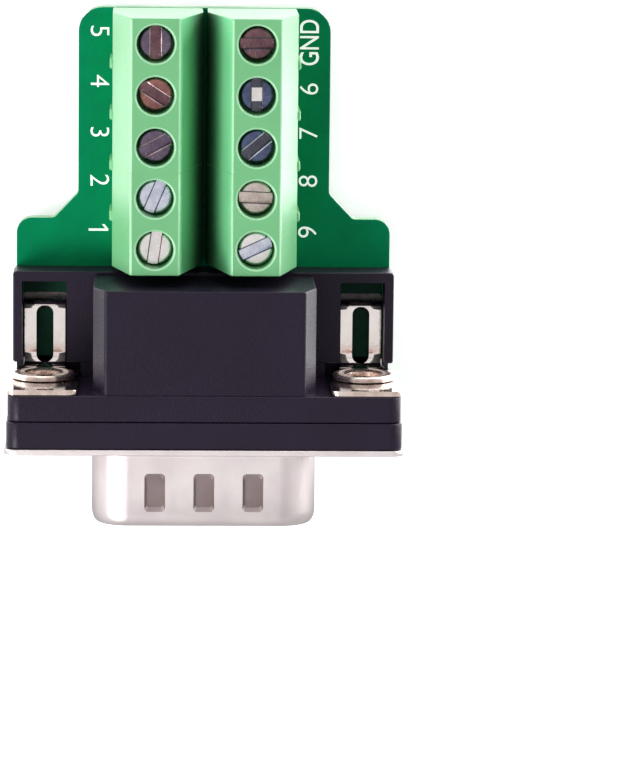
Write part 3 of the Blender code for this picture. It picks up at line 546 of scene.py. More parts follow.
TIN = finish("tinned strip", ((214, 208, 196), (190, 184, 174)), (0.28, 0.4), 1.0, 600, 7000, 0.015)
SOLDER = finish("solder", ((216, 216, 216), (172, 174, 176)), (0.16, 0.34), 1.0, 1200, 3000, 0.04)
# Painted shade: the solder in the lock holes is a darker, rougher copy of the solder.
LOCK_SOLDER_SHADE = finish("solder with painted shade in the lock holes", ((118, 114, 112), (92, 88, 86)), (0.5, 0.62), 1.0, 1200, 3000,
              0.04)
GOLD = finish("contact gold", ((226, 190, 112), (206, 168, 92)), (0.2, 0.3), 1.0, 600, 8000, 0.01)
print("materials with the metals:", len(bpy.data.materials))

# %% [markdown]
# ## Pieces
# One helper turns a mesh into a piece: it scales it, gives it its finishes, shades it smooth with its
# sharp edges kept, and lets it ride on its body in place of its solid.

# %% Turn a mesh into a piece


def make_piece(name, mesh, finishes, at=(0, 0, 0), turn=0.0, body="adapter", node=None, choose=None):
    """A piece at a place in millimetres; choose gives the finish of each face from its centre and normal."""
    item = bpy.data.objects.new(name, mesh)
    bpy.context.scene.collection.objects.link(item)
    if not mesh.materials:
        mesh.transform(Matrix.Scale(MM, 4))
        for material in finishes:
            mesh.materials.append(material)
        if choose:
            for face in mesh.polygons:
                face.material_index = choose(face.center / MM, face.normal)
        mesh.shade_smooth()
        mesh.set_sharp_from_angle(angle=math.radians(38))
    weighted = item.modifiers.new("Weighted Normal", "WEIGHTED_NORMAL")
    weighted.keep_sharp = True
    item.location = Vector(at) * MM
    item.rotation_euler = (0, 0, turn)
    if node:
        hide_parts(node)
    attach(item, body)


def twin(node, mesh, finishes, at=(0, 0, 0), turn=0.0, body="adapter", choose=None):
    """The finished piece that is shown in place of one solid."""
    make_piece(f"{node}_finished", mesh, finishes, at, turn, body, node, choose)


# %% [markdown]
# ## Board
# The board is glass fibre laminate: a wide front for the plug, two sloped shoulders and a neck. Its
# cut edge is paler than its faces, and a sheet of copper lies under the mask on both faces, stopping
# short of the edge. The sheets are real layers here, since their step is what one sees in low light.

# %% Board outline and holes
FRONT_HALF, SHOULDER_HALF, NECK_HALF = 14.75, 11.8, 9.9
SHOULDER_Y, NECK_Y, BOARD_LENGTH = 15.0, 17.0, 31.65
SLOT_WIDTH, SLOT_FRONT, SLOT_BACK = 3.9, 7.8, 9.1
CONTACT_HOLE, TERMINAL_HOLE = 0.5, 0.65


def board_outline():
    """Front, shoulders and neck, from the middle of the front edge."""
    right = [(FRONT_HALF, 0, 1.0), (FRONT_HALF, SHOULDER_Y, 1.2), (SHOULDER_HALF, SHOULDER_Y, 0.5)]
    right += [(NECK_HALF, NECK_Y, 0.6), (NECK_HALF, BOARD_LENGTH, 1.9)]
    return rounded(right + [(-u, v, radius) for u, v, radius in reversed(right)])


def lock_slot(side, grow=0.0):
    """Long hole for the prongs of one board lock, widened all round by grow."""
    slot = rectangle(SLOT_WIDTH + 2 * grow, SLOT_FRONT - grow, SLOT_BACK + grow, 0.64 + grow)
    return [p + Vector((side * FIXING_X, 0)) for p in rounded(slot)]


CONTACT_HOLES = [(x, UPPER_TAIL - BOARD_SETBACK) for x in UPPER_ROW]
CONTACT_HOLES += [(x, LOWER_TAIL - BOARD_SETBACK) for x in LOWER_ROW]
TERMINAL_HOLES = [(side * PIN_X, y + BLOCK_Y - BOARD_Y) for side in (-1, 1) for y in POLES]


def drills(low, high, grow=0.0):
    """Tool for every hole of the board."""
    outlines = [circle(CONTACT_HOLE + grow, 24, hole) for hole in CONTACT_HOLES]
    outlines += [circle(TERMINAL_HOLE + grow, 24, hole) for hole in TERMINAL_HOLES]
    outlines += [lock_slot(side, grow) for side in (-1, 1)]
    return gathered([solid([level(outline, low), level(outline, high)]) for outline in outlines])


print("board holes:", len(CONTACT_HOLES) + len(TERMINAL_HOLES) + 2)

# %% Make the board
BOARD_AT = (0, BOARD_Y, BOARD_TOP - BOARD_THICK)


def board_face(centre, normal):
    """Mask above, the cut edge, solder in the holes, and the darker mask below."""
    if abs(normal.z) > 0.5:
        return 3 if normal.z < 0 else 0
    inside = abs(centre.x) < NECK_HALF - 0.3 and 1.0 < centre.y < BOARD_LENGTH - 0.35
    in_slot_length = SLOT_FRONT - 0.3 < centre.y < SLOT_BACK + 0.3
    in_slot = abs(abs(centre.x) - FIXING_X) < SLOT_WIDTH / 2 + 0.15 and in_slot_length
    return 2 if inside or in_slot else 1


board = cut(eased(board_outline(), 0, BOARD_THICK, 0.08, level), drills(-1, 3))
twin("circuit_board", board, [MASK, EDGE, SOLDER, BELOW], BOARD_AT, choose=board_face)
print("board faces:", len(board.polygons))

# %% [markdown]
# ## Copper
# On the underside each lower contact has a track to its own terminal, with a gap free of copper on
# both sides, and the rest of the face is one earthed sheet. The sheet is cut with wider tracks, which
# leaves the gaps, and the tracks are laid back in. Round the board locks a nearly black sheet of mask
# is painted shade in the pockets, and thin black strips lie on the board beside the collars.

# %% Tracks and sheets of copper
TRACK_WIDTH, TRACK_GAP = 0.36, 0.26
COPPER, SUNK = 0.02, 0.01
SHEET_MARGIN, PAD_CLEARANCE, PAD_RADIUS = 0.35, 0.62, 0.95
# Corners of each track, from the middle of the board's front edge.
TRACKS = [
    [(4.155, 6.97), (4.155, 12.2), (3.51, 13.8)],
    [(1.385, 6.97), (1.385, 15.3), (3.51, 17.76)],
    [(-1.385, 6.97), (-1.385, 10.7), (-0.09, 12.4), (-0.09, 17.7), (3.51, 21.72)],
    [(-4.155, 6.97), (-4.155, 10.9), (-1.5, 13.2), (-1.5, 20.1), (3.51, 25.68)],
]


def track(points, width, low, high):
    """Flat strip along points with square ends."""
    places = [Vector(point) for point in points]
    sides = []
    for index, here in enumerate(places):
        if 0 < index < len(places) - 1:
            ahead = (places[index + 1] - here).normalized() + (here - places[index - 1]).normalized()
        elif index:
            ahead = here - places[index - 1]
        else:
            ahead = places[1] - here
        normal = Vector((-ahead.y, ahead.x)).normalized() * width / 2
        sides.append((here + normal, here - normal))
    outline = [right for _, right in sides] + [left for left, _ in reversed(sides)]
    return solid([level(outline, low), level(outline, high)])


def sheet(low, high, *cuts):
    """Copper over the whole board, short of its edge."""
    outline = inset(board_outline(), SHEET_MARGIN)
    return cut(solid([level(outline, low), level(outline, high)]), *cuts)


pad_cuts = drills(-1, 3, PAD_CLEARANCE)
gaps = [track(points, TRACK_WIDTH + 2 * TRACK_GAP, -1, 1) for points in TRACKS]
under = sheet(-COPPER, SUNK, pad_cuts, *gaps)
over = sheet(BOARD_THICK - SUNK, BOARD_THICK + COPPER, pad_cuts)
tracks = gathered([track(points, TRACK_WIDTH, -COPPER, SUNK) for points in TRACKS])
for name, mesh in (("sheet_under", under), ("sheet_over", over), ("tracks", tracks)):
    make_piece(f"copper_{name}", mesh, [POUR], BOARD_AT)
print("copper faces:", len(under.polygons) + len(over.polygons))

# %% Pads, painted shade and black strips
rings = [circle(PAD_RADIUS, 32, hole) for hole in CONTACT_HOLES + TERMINAL_HOLES]
rings += [lock_slot(side, 0.3) for side in (-1, 1)]
pads = gathered([solid([level(ring, -COPPER), level(ring, 0.0)]) for ring in rings])
make_piece("solder_pads", cut(pads, drills(-1, 3, 0.01)), [SOLDER], BOARD_AT)
# Painted shade: a nearly black sheet of mask lies in the pockets round the board locks.
shade_sheet_at = [(side * FIXING_X, 0, BOARD_THICK + COPPER) for side in (-1, 1)]
shade_sheet = gathered([box((-1.7, 3.4, 0), (1.7, 10.4, 0.01))], shade_sheet_at)
make_piece("painted_shade_by_the_locks", cut(shade_sheet, drills(-1, 3)), [POCKET_SHADE], BOARD_AT)
# Thin black strips lie on the board beside the collars.
outer, inner = FIXING_X + 2.24, FIXING_X - 2.8
black_strips = gathered([box((-outer, 2.7, 0), (-inner, 4.0, 0.03)), box((inner, 2.7, 0), (outer, 4.0, 0.03))])
black_strips.transform(Matrix.Translation((0, 0, BOARD_THICK)))
make_piece("black_strips_beside_the_collars", black_strips, [BLACK], BOARD_AT)
print("pad faces:", len(pads.polygons))

# %% [markdown]
# ## Labels
# Each terminal's number is printed beside it in white ink, turned to read from the side, with the
# earth terminal marked in letters. Blender's own font gives plain figures, all but the one, which it
# writes without its flag. They lie a hair above the mask, as ink does.

# %% Print the labels
LABEL_HEIGHT = 1.57
FONT_SIZE = LABEL_HEIGHT / 0.73
WORD_STRETCH = 0.76
# Middle of each label beside the rows and along them.
LABEL_X = 8.3
LABEL_Y = {"1": 2.12, "2": 6.05, "3": 9.86, "4": 13.87, "5": 17.8}
LABEL_Y |= {"9": 2.02, "8": 6.07, "7": 9.84, "6": 13.36, "gnd": 17.02}
# The figure one at a font size of one.
FIGURE_ONE = [(-0.04, -0.36), (0.04, -0.36), (0.04, 0.36), (-0.03, 0.36)]
FIGURE_ONE += [(-0.2, 0.22), (-0.2, 0.13), (-0.04, 0.26)]


def flat_word(word):
    """Flat mesh of a word in the plain font, whose figure one lacks its flag and is drawn instead."""
    if word == "1":
        shape = bmesh.new()
        shape.faces.new([shape.verts.new((x * FONT_SIZE, y * FONT_SIZE, 0)) for x, y in FIGURE_ONE])
        return to_mesh(shape)
    curve = bpy.data.curves.new(word, "FONT")
    curve.body = word
    curve.align_x = "CENTER"
    curve.align_y = "CENTER"
    curve.size = FONT_SIZE
    curve.offset = -0.02 if len(word) == 1 else 0.01
    text = bpy.data.objects.new(word, curve)
    bpy.context.scene.collection.objects.link(text)
    bpy.context.view_layer.update()
    flat = bpy.data.meshes.new_from_object(text.evaluated_get(bpy.context.evaluated_depsgraph_get()))
    bpy.data.objects.remove(text, do_unlink=True)
    return flat


def label(name, word, at, turn, flip):
    """A printed word with the thickness of ink."""
    shape = bmesh.new()
    shape.from_mesh(flat_word(word))
    bmesh.ops.dissolve_limit(shape, angle_limit=0.01, verts=shape.verts, edges=shape.edges)
    grown = bmesh.ops.extrude_face_region(shape, geom=shape.faces[:])
    up = [item for item in grown["geom"] if isinstance(item, bmesh.types.BMVert)]
    bmesh.ops.translate(shape, verts=up, vec=(0, 0, COPPER))
    bmesh.ops.recalc_face_normals(shape, faces=shape.faces)
    mesh = to_mesh(shape)
    mesh.transform(Matrix.Diagonal((WORD_STRETCH if len(word) > 1 else 1.0, 1, 1, 1)))
    mesh.transform(Matrix.Rotation(math.radians(turn), 4, "Z"))
    if flip:
        mesh.transform(Matrix.Rotation(math.pi, 4, "Y"))
    make_piece(name, mesh, [INK], at)


for side, poles in TERMINALS:
    for word, _ in poles:
        place = (side * LABEL_X, LABEL_Y[word])
        top = (*place, BOARD_TOP + COPPER - 0.005)
        low = (*place, BOARD_TOP - BOARD_THICK - COPPER + 0.005)
        label(f"label_top_{word}", word.upper(), top, side * 90, False)
        label(f"label_under_{word}", word.upper(), low, -side * 90, True)
print("labels:", 2 * (len(LEFT_POLES) + len(RIGHT_POLES)))

# %% [markdown]
# ## Plug shell
# The shell is drawn from one nickel plated sheet: a flange, and a D skirt whose root and rim are both
# curved. Rings of the D outline, each a little larger or smaller, follow that curve, first outside and
# then inside, and the three dimples that grip the socket are pressed in afterwards. Plated sheet looks
# darker where it turns away from the eye, so its finish gets painted shade by the angle of view, and
# more painted shade towards the skirt's rim and in the dimples.

# %% Outlines, holes and dimples of the shell
SHELL_FLANGE, FRONT_FLANGE, REAR_FLANGE = (30.81, 12.55), (30.5, 12.3), (30.3, 12.2)
FLANGE_CORNER = 1.0
FLANGE_SHEET, SKIRT_WALL, SKIRT_LENGTH = 0.45, 0.3, 5.9
LIP_INSET, LIP_LENGTH, ROOT = 0.55, 1.1, 0.5
SLANT = math.radians(10)
SKIRT_HALF_WIDTH, SKIRT_HALF_HEIGHT, SKIRT_CORNER = 8.7, 4.45, 2.9
DIMPLE_X = (-3.8, 0, 3.8)
DIMPLE_WIDTH, DIMPLE_FRONT, DIMPLE_BACK = 1.6, -4.7, -1.7
DIMPLE_DEPTH, DIMPLE_EASE = 0.28, 0.16


def skirt_outline(offset):
    """The plug's D outline about its axis, moved outwards by offset."""
    radius = SKIRT_CORNER + offset
    tan = math.tan(SLANT)
    top = SKIRT_HALF_HEIGHT + offset
    reach = tan + 1 / math.cos(SLANT)
    upper = SKIRT_HALF_WIDTH + SKIRT_CORNER * (reach - 1) + offset * reach
    lower = upper - 2 * top * tan
    corners = [(-lower, -top, radius), (lower, -top, radius), (upper, top, radius), (-upper, top, radius)]
    return rounded(corners, 12)


def flange_outline(width, height):
    return rounded(rectangle(width, -height / 2, height / 2, FLANGE_CORNER))


def fixing_holes(start, end):
    """Tool for the two holes that take the inserts."""
    return gathered([bar_along_y(1.94, start, end, side * FIXING_X, 0, ROUND) for side in (-1, 1)])


def dimple(grow, rise):
    """Dent with a rounded floor, grown by the sheet to give the bulge inside."""
    rings = []
    for _, cosine in quarter(5):
        spread = grow - DIMPLE_EASE * cosine
        height = SKIRT_HALF_HEIGHT - 0.003 - DIMPLE_DEPTH * cosine - 1.01 * grow
        width = DIMPLE_WIDTH + 2 * spread
        outline = rectangle(width, DIMPLE_FRONT - 2 * spread, DIMPLE_BACK + 2 * spread, 0.2 * width)
        rings.append(level(rounded(outline), height))
    rings.append(level(rounded(outline), SKIRT_HALF_HEIGHT + rise))
    return solid(rings)


print("skirt across its top:", round(2 * max(p.x for p in skirt_outline(0.0)), 2))

# %% Draw the shell


def shell_mesh():
    """Flange and skirt, hollowed, with their dimples and holes."""
    flange = eased(flange_outline(*SHELL_FLANGE), 0, FLANGE_SHEET, 0.1, upright)
    shoulder = LIP_LENGTH - SKIRT_LENGTH
    outside = [(ROOT, FLANGE_SHEET / 2)]
    outside += [(ROOT * (1 - s), ROOT * (c - 1)) for s, c in quarter(8)]
    outside += [(-LIP_INSET * (1 - c), shoulder - LIP_LENGTH * s) for s, c in quarter(10)]
    skirt = solid([upright(skirt_outline(offset), y) for offset, y in outside])
    wide = ROOT + FLANGE_SHEET - SKIRT_WALL
    inside = [(wide, FLANGE_SHEET + 1)]
    inside += [(wide - (wide + SKIRT_WALL) * s, FLANGE_SHEET - wide * (1 - c)) for s, c in quarter(8)]
    lip = LIP_LENGTH - SKIRT_WALL
    inside += [((SKIRT_WALL - LIP_INSET) * (1 - c) - SKIRT_WALL, shoulder - lip * s) for s, c in quarter(8)]
    inside.append((-LIP_INSET, -SKIRT_LENGTH - 1))
    hollow = solid([upright(skirt_outline(offset), y) for offset, y in inside])
    places = [(x, 0, 0) for x in DIMPLE_X]
    steps = [
        ("UNION", skirt),
        ("DIFFERENCE", hollow),
        ("UNION", gathered([dimple(SKIRT_WALL, -0.15)], places)),
        ("DIFFERENCE", gathered([dimple(0.0, 1.0)], places)),
        ("DIFFERENCE", fixing_holes(-1, 1.5)),
    ]
    return combined(flange, steps)


def shell_face(centre, normal):
    """The nickel, and the painted shade on the floor of a dimple and on its walls."""
    beside = any(abs(centre.x - x) < DIMPLE_WIDTH / 2 + 0.01 for x in DIMPLE_X)
    in_dent = beside and DIMPLE_FRONT - 0.05 < centre.y < DIMPLE_BACK + 0.05
    if not in_dent or normal.z < 0.2 or not 3.9 < centre.z < SKIRT_HALF_HEIGHT - 0.005:
        return 0
    return 1 if normal.z > 0.85 else 2


shell = shell_mesh()
twin("plug_shell", shell, [NICKEL, DIMPLE_SHADE, DIMPLE_WALL_SHADE], AXIS, choose=shell_face)
print("shell faces:", len(shell.polygons))

# %% [markdown]
# ## Black mouldings
# Two mouldings hold the contacts. The front one fills the D and shows as the first dark layer behind
# the shell, and the rear one is the second layer with a hood over the contacts' tails and a low skirting
# round the board locks. Their edges are eased, because a moulding never has a knife edge.

# %% Front moulding
INSULATOR_FRONT = FLANGE_SHEET + SEAT_GAP
INSULATOR_BACK = INSULATOR_FRONT + 2.07
REAR_FRONT = INSULATOR_BACK + SEAT_GAP
REAR_BACK = REAR_FRONT + 2.05
HOOD_BACK = UPPER_TAIL + 1.07
FOOT = SEAT_GAP - AXIS_HEIGHT
ROWS = ((UPPER_ROW, ROW_SPACING / 2, UPPER_TAIL), (LOWER_ROW, -ROW_SPACING / 2, LOWER_TAIL))


def contact_bores(radius, start, end):
    """Tool for the nine contact holes."""
    return gathered([bar_along_y(radius, start, end, x, z) for row, z, _ in ROWS for x in row])


def insulator_mesh():
    """Flange and the boss that fills the D, with their holes."""
    flange = eased(flange_outline(*FRONT_FLANGE), INSULATOR_FRONT, INSULATOR_BACK, 0.14, upright)
    boss = skirt_outline(-SKIRT_WALL - 2 * RUN_GAP)
    body = combined(flange, [("UNION", eased(boss, -0.4, INSULATOR_BACK - 0.2, 0.12, upright))])
    return cut(body, contact_bores(0.57, -1, 3), fixing_holes(0, 3))


insulator = insulator_mesh()
twin("pin_insulator", insulator, [BLACK], AXIS)
print("front moulding faces:", len(insulator.polygons))

# %% Rear moulding with its hood
HOOD_HALF, HOOD_SHOULDER, RIDGE_HALF, HOOD_TOP = 8.6, 3.7, 7.7, 5.9
SKIRTING_HALF, SKIRTING_HEIGHT = 14.95, 3.3


def housing_mesh():
    """Flange, skirting, webs and hood, with pockets for the locks and slots for the tails."""
    flange = eased(flange_outline(*REAR_FLANGE), REAR_FRONT, REAR_BACK, 0.16, upright)
    hood = [(HOOD_HALF, FOOT, 0), (HOOD_HALF, HOOD_SHOULDER, 0.3), (RIDGE_HALF, HOOD_TOP, 0.3)]
    hood = [(-HOOD_HALF, FOOT, 0)] + hood + [(-u, v, radius) for u, v, radius in reversed(hood[1:])]
    hood = eased(rounded(hood, 4), REAR_BACK - 1, HOOD_BACK, 0.14, upright, both=False)
    front, back = REAR_BACK + 1.2, HOOD_BACK + 0.3
    plan = [(-SKIRTING_HALF, front, 0.2), (SKIRTING_HALF, front, 0.2)]
    plan += [(SKIRTING_HALF, back, 0.3), (-SKIRTING_HALF, back, 0.3)]
    skirting = eased(rounded(plan), FOOT, FOOT + SKIRTING_HEIGHT, 0.12, level, both=False)
    web = FIXING_X - 2.75 - RUN_GAP
    webs = box((-web, REAR_BACK - 1, FOOT), (web, front + 1, FOOT + SKIRTING_HEIGHT - 0.03))
    body = combined(flange, [("UNION", skirting), ("UNION", webs), ("UNION", hood)])
    pockets = []
    for x in (-FIXING_X, FIXING_X):
        pockets.append(box((x - 1.75, front - 1, FOOT - 1), (x + 1.75, back - 0.8, FOOT + 4.3)))
    slots = []
    for row, z, tail in ROWS:
        slots += [box((x - 0.5, REAR_BACK + 0.03, FOOT - 1), (x + 0.5, tail + 1.0, z + 0.6)) for x in row]
    holes = [contact_bores(0.46, 0, REAR_BACK + 1), fixing_holes(0, REAR_BACK + 1)]
    return cut(body, gathered(pockets), gathered(slots), *holes)


housing = housing_mesh()
twin("rear_housing", housing, [BLACK], AXIS)
print("rear moulding faces:", len(housing.polygons))

# %% [markdown]
# ## Contacts
# A contact is a turned pin, gold where it mates and tinned behind. It turns down behind the plug and
# ends in a solder joint under the board, whose hollow cone climbs the pin because molten solder wets it.
# A bar swept along a path gives all of it as one mesh: the section changes from place to place.

# %% Sweep a bar


def swept(stations, side, parts):
    """Bar through (point, half side, half normal, corner) stations, its side axis staying fixed."""
    places = [Vector(station[0]) for station in stations]
    rings = []
    for index, (_, half_side, half_normal, corner) in enumerate(stations):
        here = places[index]
        ahead = next((p for p in places[index + 1 :] if (p - here).length > 0), here)
        behind = next((p for p in reversed(places[:index]) if (p - here).length > 0), here)
        normal = (ahead - behind).normalized().cross(side)
        ring = []
        for quadrant in range(4):
            for part in range(parts):
                angle = math.radians(90 * (quadrant + (part + 0.5) / parts))
                sign_u = 1 if quadrant in (0, 3) else -1
                sign_v = 1 if quadrant in (0, 1) else -1
                u = sign_u * (half_side - corner) + corner * math.cos(angle)
                v = sign_v * (half_normal - corner) + corner * math.sin(angle)
                ring.append(here + side * u + normal * v)
        rings.append(ring)
    return solid(rings)


print("ready to sweep bars")

# %% Solder joints and contacts
PIN_RADIUS, TAIL_RADIUS = 0.5, 0.4


def soldered_end(point_at, bar):
    """Stations of a bar's end below the board: the bar, the hollow cone of solder, and the tip."""
    under = -BOARD_THICK - SEAT_GAP
    stations = [(point_at(under), *bar)]
    for step in range(9):
        share = step / 8
        radius = 0.42 + 0.53 * (1 - share) ** 2.2
        stations.append((point_at(under - 0.8 * share), radius, radius, radius))
    for drop, radius in ((0.95, 0.36), (1.12, 0.34), (1.22, 0.28), (1.27, 0.14)):
        stations.append((point_at(under - drop), radius, radius, radius))
    return stations


def contact_mesh(tail_y, row):
    """Rounded tip, pin, step down to the tail, bend, and the soldered end."""
    tail = (TAIL_RADIUS, TAIL_RADIUS, TAIL_RADIUS)
    stations = []
    for s, c in quarter(6):
        radius = 0.06 + (PIN_RADIUS - 0.06) * s
        stations.append(((0, -5.3 + 0.45 * (1 - c), 0), radius, radius, radius))
    step_y = INSULATOR_BACK - SLIDE_GAP
    stations += [((0, step_y, 0), PIN_RADIUS, PIN_RADIUS, PIN_RADIUS), ((0, step_y, 0), *tail)]
    stations += [((0, tail_y - 0.8 * (1 - s), 0.8 * (c - 1)), *tail) for s, c in quarter(6)]
    stations += soldered_end(lambda z: (0, tail_y, z - AXIS_HEIGHT - row), tail)
    return swept(stations, Vector((1, 0, 0)), 5)


def contact_face(centre, normal):
    return 0 if centre.y < INSULATOR_BACK else 1


upper = contact_mesh(UPPER_TAIL, ROW_SPACING / 2)
lower = contact_mesh(LOWER_TAIL, -ROW_SPACING / 2)
spots = [(x, upper, ROW_SPACING / 2) for x in UPPER_ROW] + [(x, lower, -ROW_SPACING / 2) for x in LOWER_ROW]
for number, (x, mesh, row) in enumerate(spots, 1):
    at = AXIS + Vector((x, 0, row))
    twin(f"contact_{number}", mesh, [GOLD, SOLDER], at, choose=contact_face)
print("contacts:", len(spots))

# %% [markdown]
# ## Inserts and board locks
# A threaded insert is a tube whose rim holds the shell and whose collar clamps the board lock. The lock
# is one bent strip: a plate behind the flange, a slotted strap over the board, and two prongs that snap
# through it, where solder fills the hole round them.

# %% Threaded inserts


def threaded_wall(radius, depth, pitch, low, high, count=24):
    """Rings of a screw thread: the radius rises and falls along a helix."""
    rings = []
    rows = int((high - low) / pitch * 6)
    for row in range(rows + 1):
        z = low + (high - low) * row / rows
        fade = min(1.0, 4 * row / rows, 4 * (rows - row) / rows)
        ring = []
        for index in range(count):
            turn = 2 * math.pi * index / count
            dip = depth * fade * (0.5 + 0.5 * math.cos(2 * math.pi * z / pitch - turn))
            ring.append(Vector(((radius - dip) * math.cos(turn), (radius - dip) * math.sin(turn), z)))
        rings.append(ring)
    return rings


def insert_mesh():
    """Rim before the shell, tube through the flange, collar behind the lock's plate, and a thread inside."""
    front = REAR_BACK + 0.4 + 2 * SEAT_GAP
    back = front + 0.47
    profile = [(1.25, -0.3), (2.15, -0.3), (2.26, -0.26), (2.3, -0.16), (2.3, -SEAT_GAP), (1.9, -SEAT_GAP)]
    profile += [(1.9, front), (2.35, front), (2.43, front + 0.05)]
    profile += [(2.25 + 0.2 * c, back - 0.2 + 0.2 * s) for s, c in quarter(6)]
    profile += [(1.6, back), (1.48, back - 0.08)]
    rings = [level(circle(radius, 36), z) for radius, z in profile]
    thread = threaded_wall(1.37, 0.12, 0.635, -0.2, back - 0.12, 36)
    half_step = Matrix.Rotation(math.pi / 36, 3, "Z")
    rings += [[half_step @ point for point in ring] for ring in reversed(thread)]
    mesh = solid(rings, hollow=True)
    mesh.transform(Matrix.Rotation(-math.pi / 2, 4, "X"))
    return mesh


insert = insert_mesh()
for side, word in SIDES:
    at = AXIS + Vector((side * FIXING_X, 0, 0))
    twin(f"threaded_insert_{word}", insert, [COLLAR], at)
print("insert faces:", len(insert.polygons))

# %% Board locks


def lock_mesh():
    """Plate behind the flange, slotted strap over the board, and two prongs through it."""
    plate_y, strap_z, strap, plate = 0.23, 0.55, 1.65, 2.75
    prong_y = BOARD_SETBACK + (SLOT_FRONT + SLOT_BACK) / 2 - REAR_BACK
    corner, top, tip = 0.6, 12.2, -2.4
    sweep, steps = 1.4, 14
    rows = [((plate_y, top - corner * (1 - c)), plate - corner * (1 - s)) for s, c in quarter(6)]
    bends = [(plate_y, strap_z, sweep), (prong_y, strap_z, 0.6)]
    spine = rounded([(plate_y, AXIS_HEIGHT, 0), *bends, (prong_y, tip, 0)], steps)[1:]
    for index, point in enumerate(spine):
        narrowing = min(1, index / (0.6 * steps))
        rows.append((point, strap + (plate - strap) * (1 - narrowing) ** 2))
    stations = [((0, p[0], p[1]), half, 0.2, 0.07) for p, half in rows]
    strip = swept(stations, Vector((1, 0, 0)), 3)
    slot = rounded(rectangle(1.34, 0.84, prong_y - 0.35, 0.6), 8)
    notch = box((-0.5, prong_y - 0.4, tip - 1), (0.5, prong_y + 0.4, -0.35))
    slot = solid([level(slot, -0.1), level(slot, strap_z + sweep)])
    return cut(strip, slot, notch, bar_along_y(1.93, -1, 1.2, 0, AXIS_HEIGHT, 36))


def lock_face(centre, normal):
    """Duller finish on the cut top of the plate."""
    return 1 if centre.z > 11.4 and normal.z > 0.3 else 0


lock = lock_mesh()
for side, word in SIDES:
    at = Vector((side * FIXING_X, AXIS.y + REAR_BACK, BOARD_TOP))
    twin(f"board_lock_{word}", lock, [LOCK, COLLAR], at, choose=lock_face)
# Solder fills the lock holes, with painted shade.
fill = [eased(lock_slot(side, -0.01), -0.12, BOARD_THICK - 0.35, 0.1, level) for side in (-1, 1)]
make_piece("lock_solder", gathered(fill), [LOCK_SOLDER_SHADE], BOARD_AT)
print("lock faces:", len(lock.polygons))

# %% [markdown]
# ## Terminal housings
# Each row is a pale green bar with sloped flanks, clipped together from a block of three and a block
# of two, which leaves a hair line between them. Every pole has a screw well with a soft rim, a square
# cavity for its clamp and a flared entry for the wire.

# %% Tools for wells and wire entries
BLOCK_HEIGHT, CAVITY_TOP, SCREW_SEAT = 10.33, 7.3, 7.7
WELL_RADIUS, WELL_RIM, TOP_HALF = 1.45, 0.2, 1.9
BLOCK_INNER, BLOCK_OUTER, BLOCK_HALF = 0.17, 7.2, 9.9
WINDOW_BOTTOM, JAW_BOTTOM, JAW_TOP, CAGE_BOTTOM, CAGE_TOP = 1.4, 3.7, 4.1, 1.0, 5.15
SLOPE = math.tan(math.radians(14.8))


def well_drill():
    """Tool for one well: shank bore, seat, wall, and a rounded rim."""
    rim = BLOCK_HEIGHT - WELL_RIM
    profile = [(1.1, CAVITY_TOP - 0.4), (1.1, SCREW_SEAT), (WELL_RADIUS, SCREW_SEAT), (WELL_RADIUS, rim)]
    profile += [(WELL_RADIUS + WELL_RIM * (1 - c), rim + WELL_RIM * s) for s, c in quarter(6)[1:]]
    profile += [(WELL_RADIUS + WELL_RIM, BLOCK_HEIGHT + 0.5)]
    return turned(profile)


def entry():
    """Tool for one wire entry, flared at the outside."""
    rings = []
    for x, grow in ((5.6, 0), (6.7, 0), (6.95, 0.1), (7.1, 0.2), (BLOCK_OUTER, 0.3), (7.6, 0.3)):
        outline = rectangle(2.5 + 2 * grow, WINDOW_BOTTOM - grow, JAW_BOTTOM + grow, 0.3)
        rings.append(across(rounded(outline, 4), x))
    return solid(rings)


print("ready to drill", len(POLES), "poles a row")

# %% Terminal housings


def block_mesh(split):
    """One row, with the hair line between its two blocks at split."""
    top_inner, top_outer = SCREW_X - TOP_HALF, SCREW_X + TOP_HALF
    knee = BLOCK_HEIGHT - (BLOCK_OUTER - top_outer) / SLOPE
    section = [
        (BLOCK_INNER, SEAT_GAP, 0),
        (BLOCK_OUTER, SEAT_GAP, 0),
        (BLOCK_OUTER, knee, 0.25),
        (top_outer, BLOCK_HEIGHT, 0.22),
        (top_inner, BLOCK_HEIGHT, 0.22),
        (BLOCK_INNER, BLOCK_HEIGHT - (top_inner - BLOCK_INNER) / SLOPE, 0.25),
    ]
    outline = rounded(section, 6)
    steps_in = [(0.1 * (1 - s), -BLOCK_HALF + 0.1 * (1 - c)) for s, c in quarter(3)]
    steps_in += [(0, split - 0.03), (0.014, split - 0.01), (0.014, split + 0.01), (0, split + 0.03)]
    steps_in += [(0.1 * (1 - c), BLOCK_HALF - 0.1 * (1 - s)) for s, c in quarter(3)]
    bar = solid([upright(inset(outline, depth), y) for depth, y in steps_in])
    rib = rounded(rectangle(0.85, 2 * SEAT_GAP, knee, 0.2), 4)
    rib = eased(rib, BLOCK_OUTER - 0.3, BLOCK_OUTER + 0.22, 0.18, across)
    seams = [(0, y + POLE_PITCH / 2, 0) for y in POLES[:-1]]
    poles = [(0, y, 0) for y in POLES]
    wells = [(SCREW_X, y, 0) for y in POLES]
    cavity = box((1.19, -1.5, -1), (5.69, 1.5, CAVITY_TOP))
    steps = [
        ("UNION", gathered([rib], seams)),
        ("DIFFERENCE", gathered([cavity], poles)),
        ("DIFFERENCE", gathered([well_drill()], wells)),
        ("DIFFERENCE", gathered([entry()], poles)),
    ]
    return combined(bar, steps)


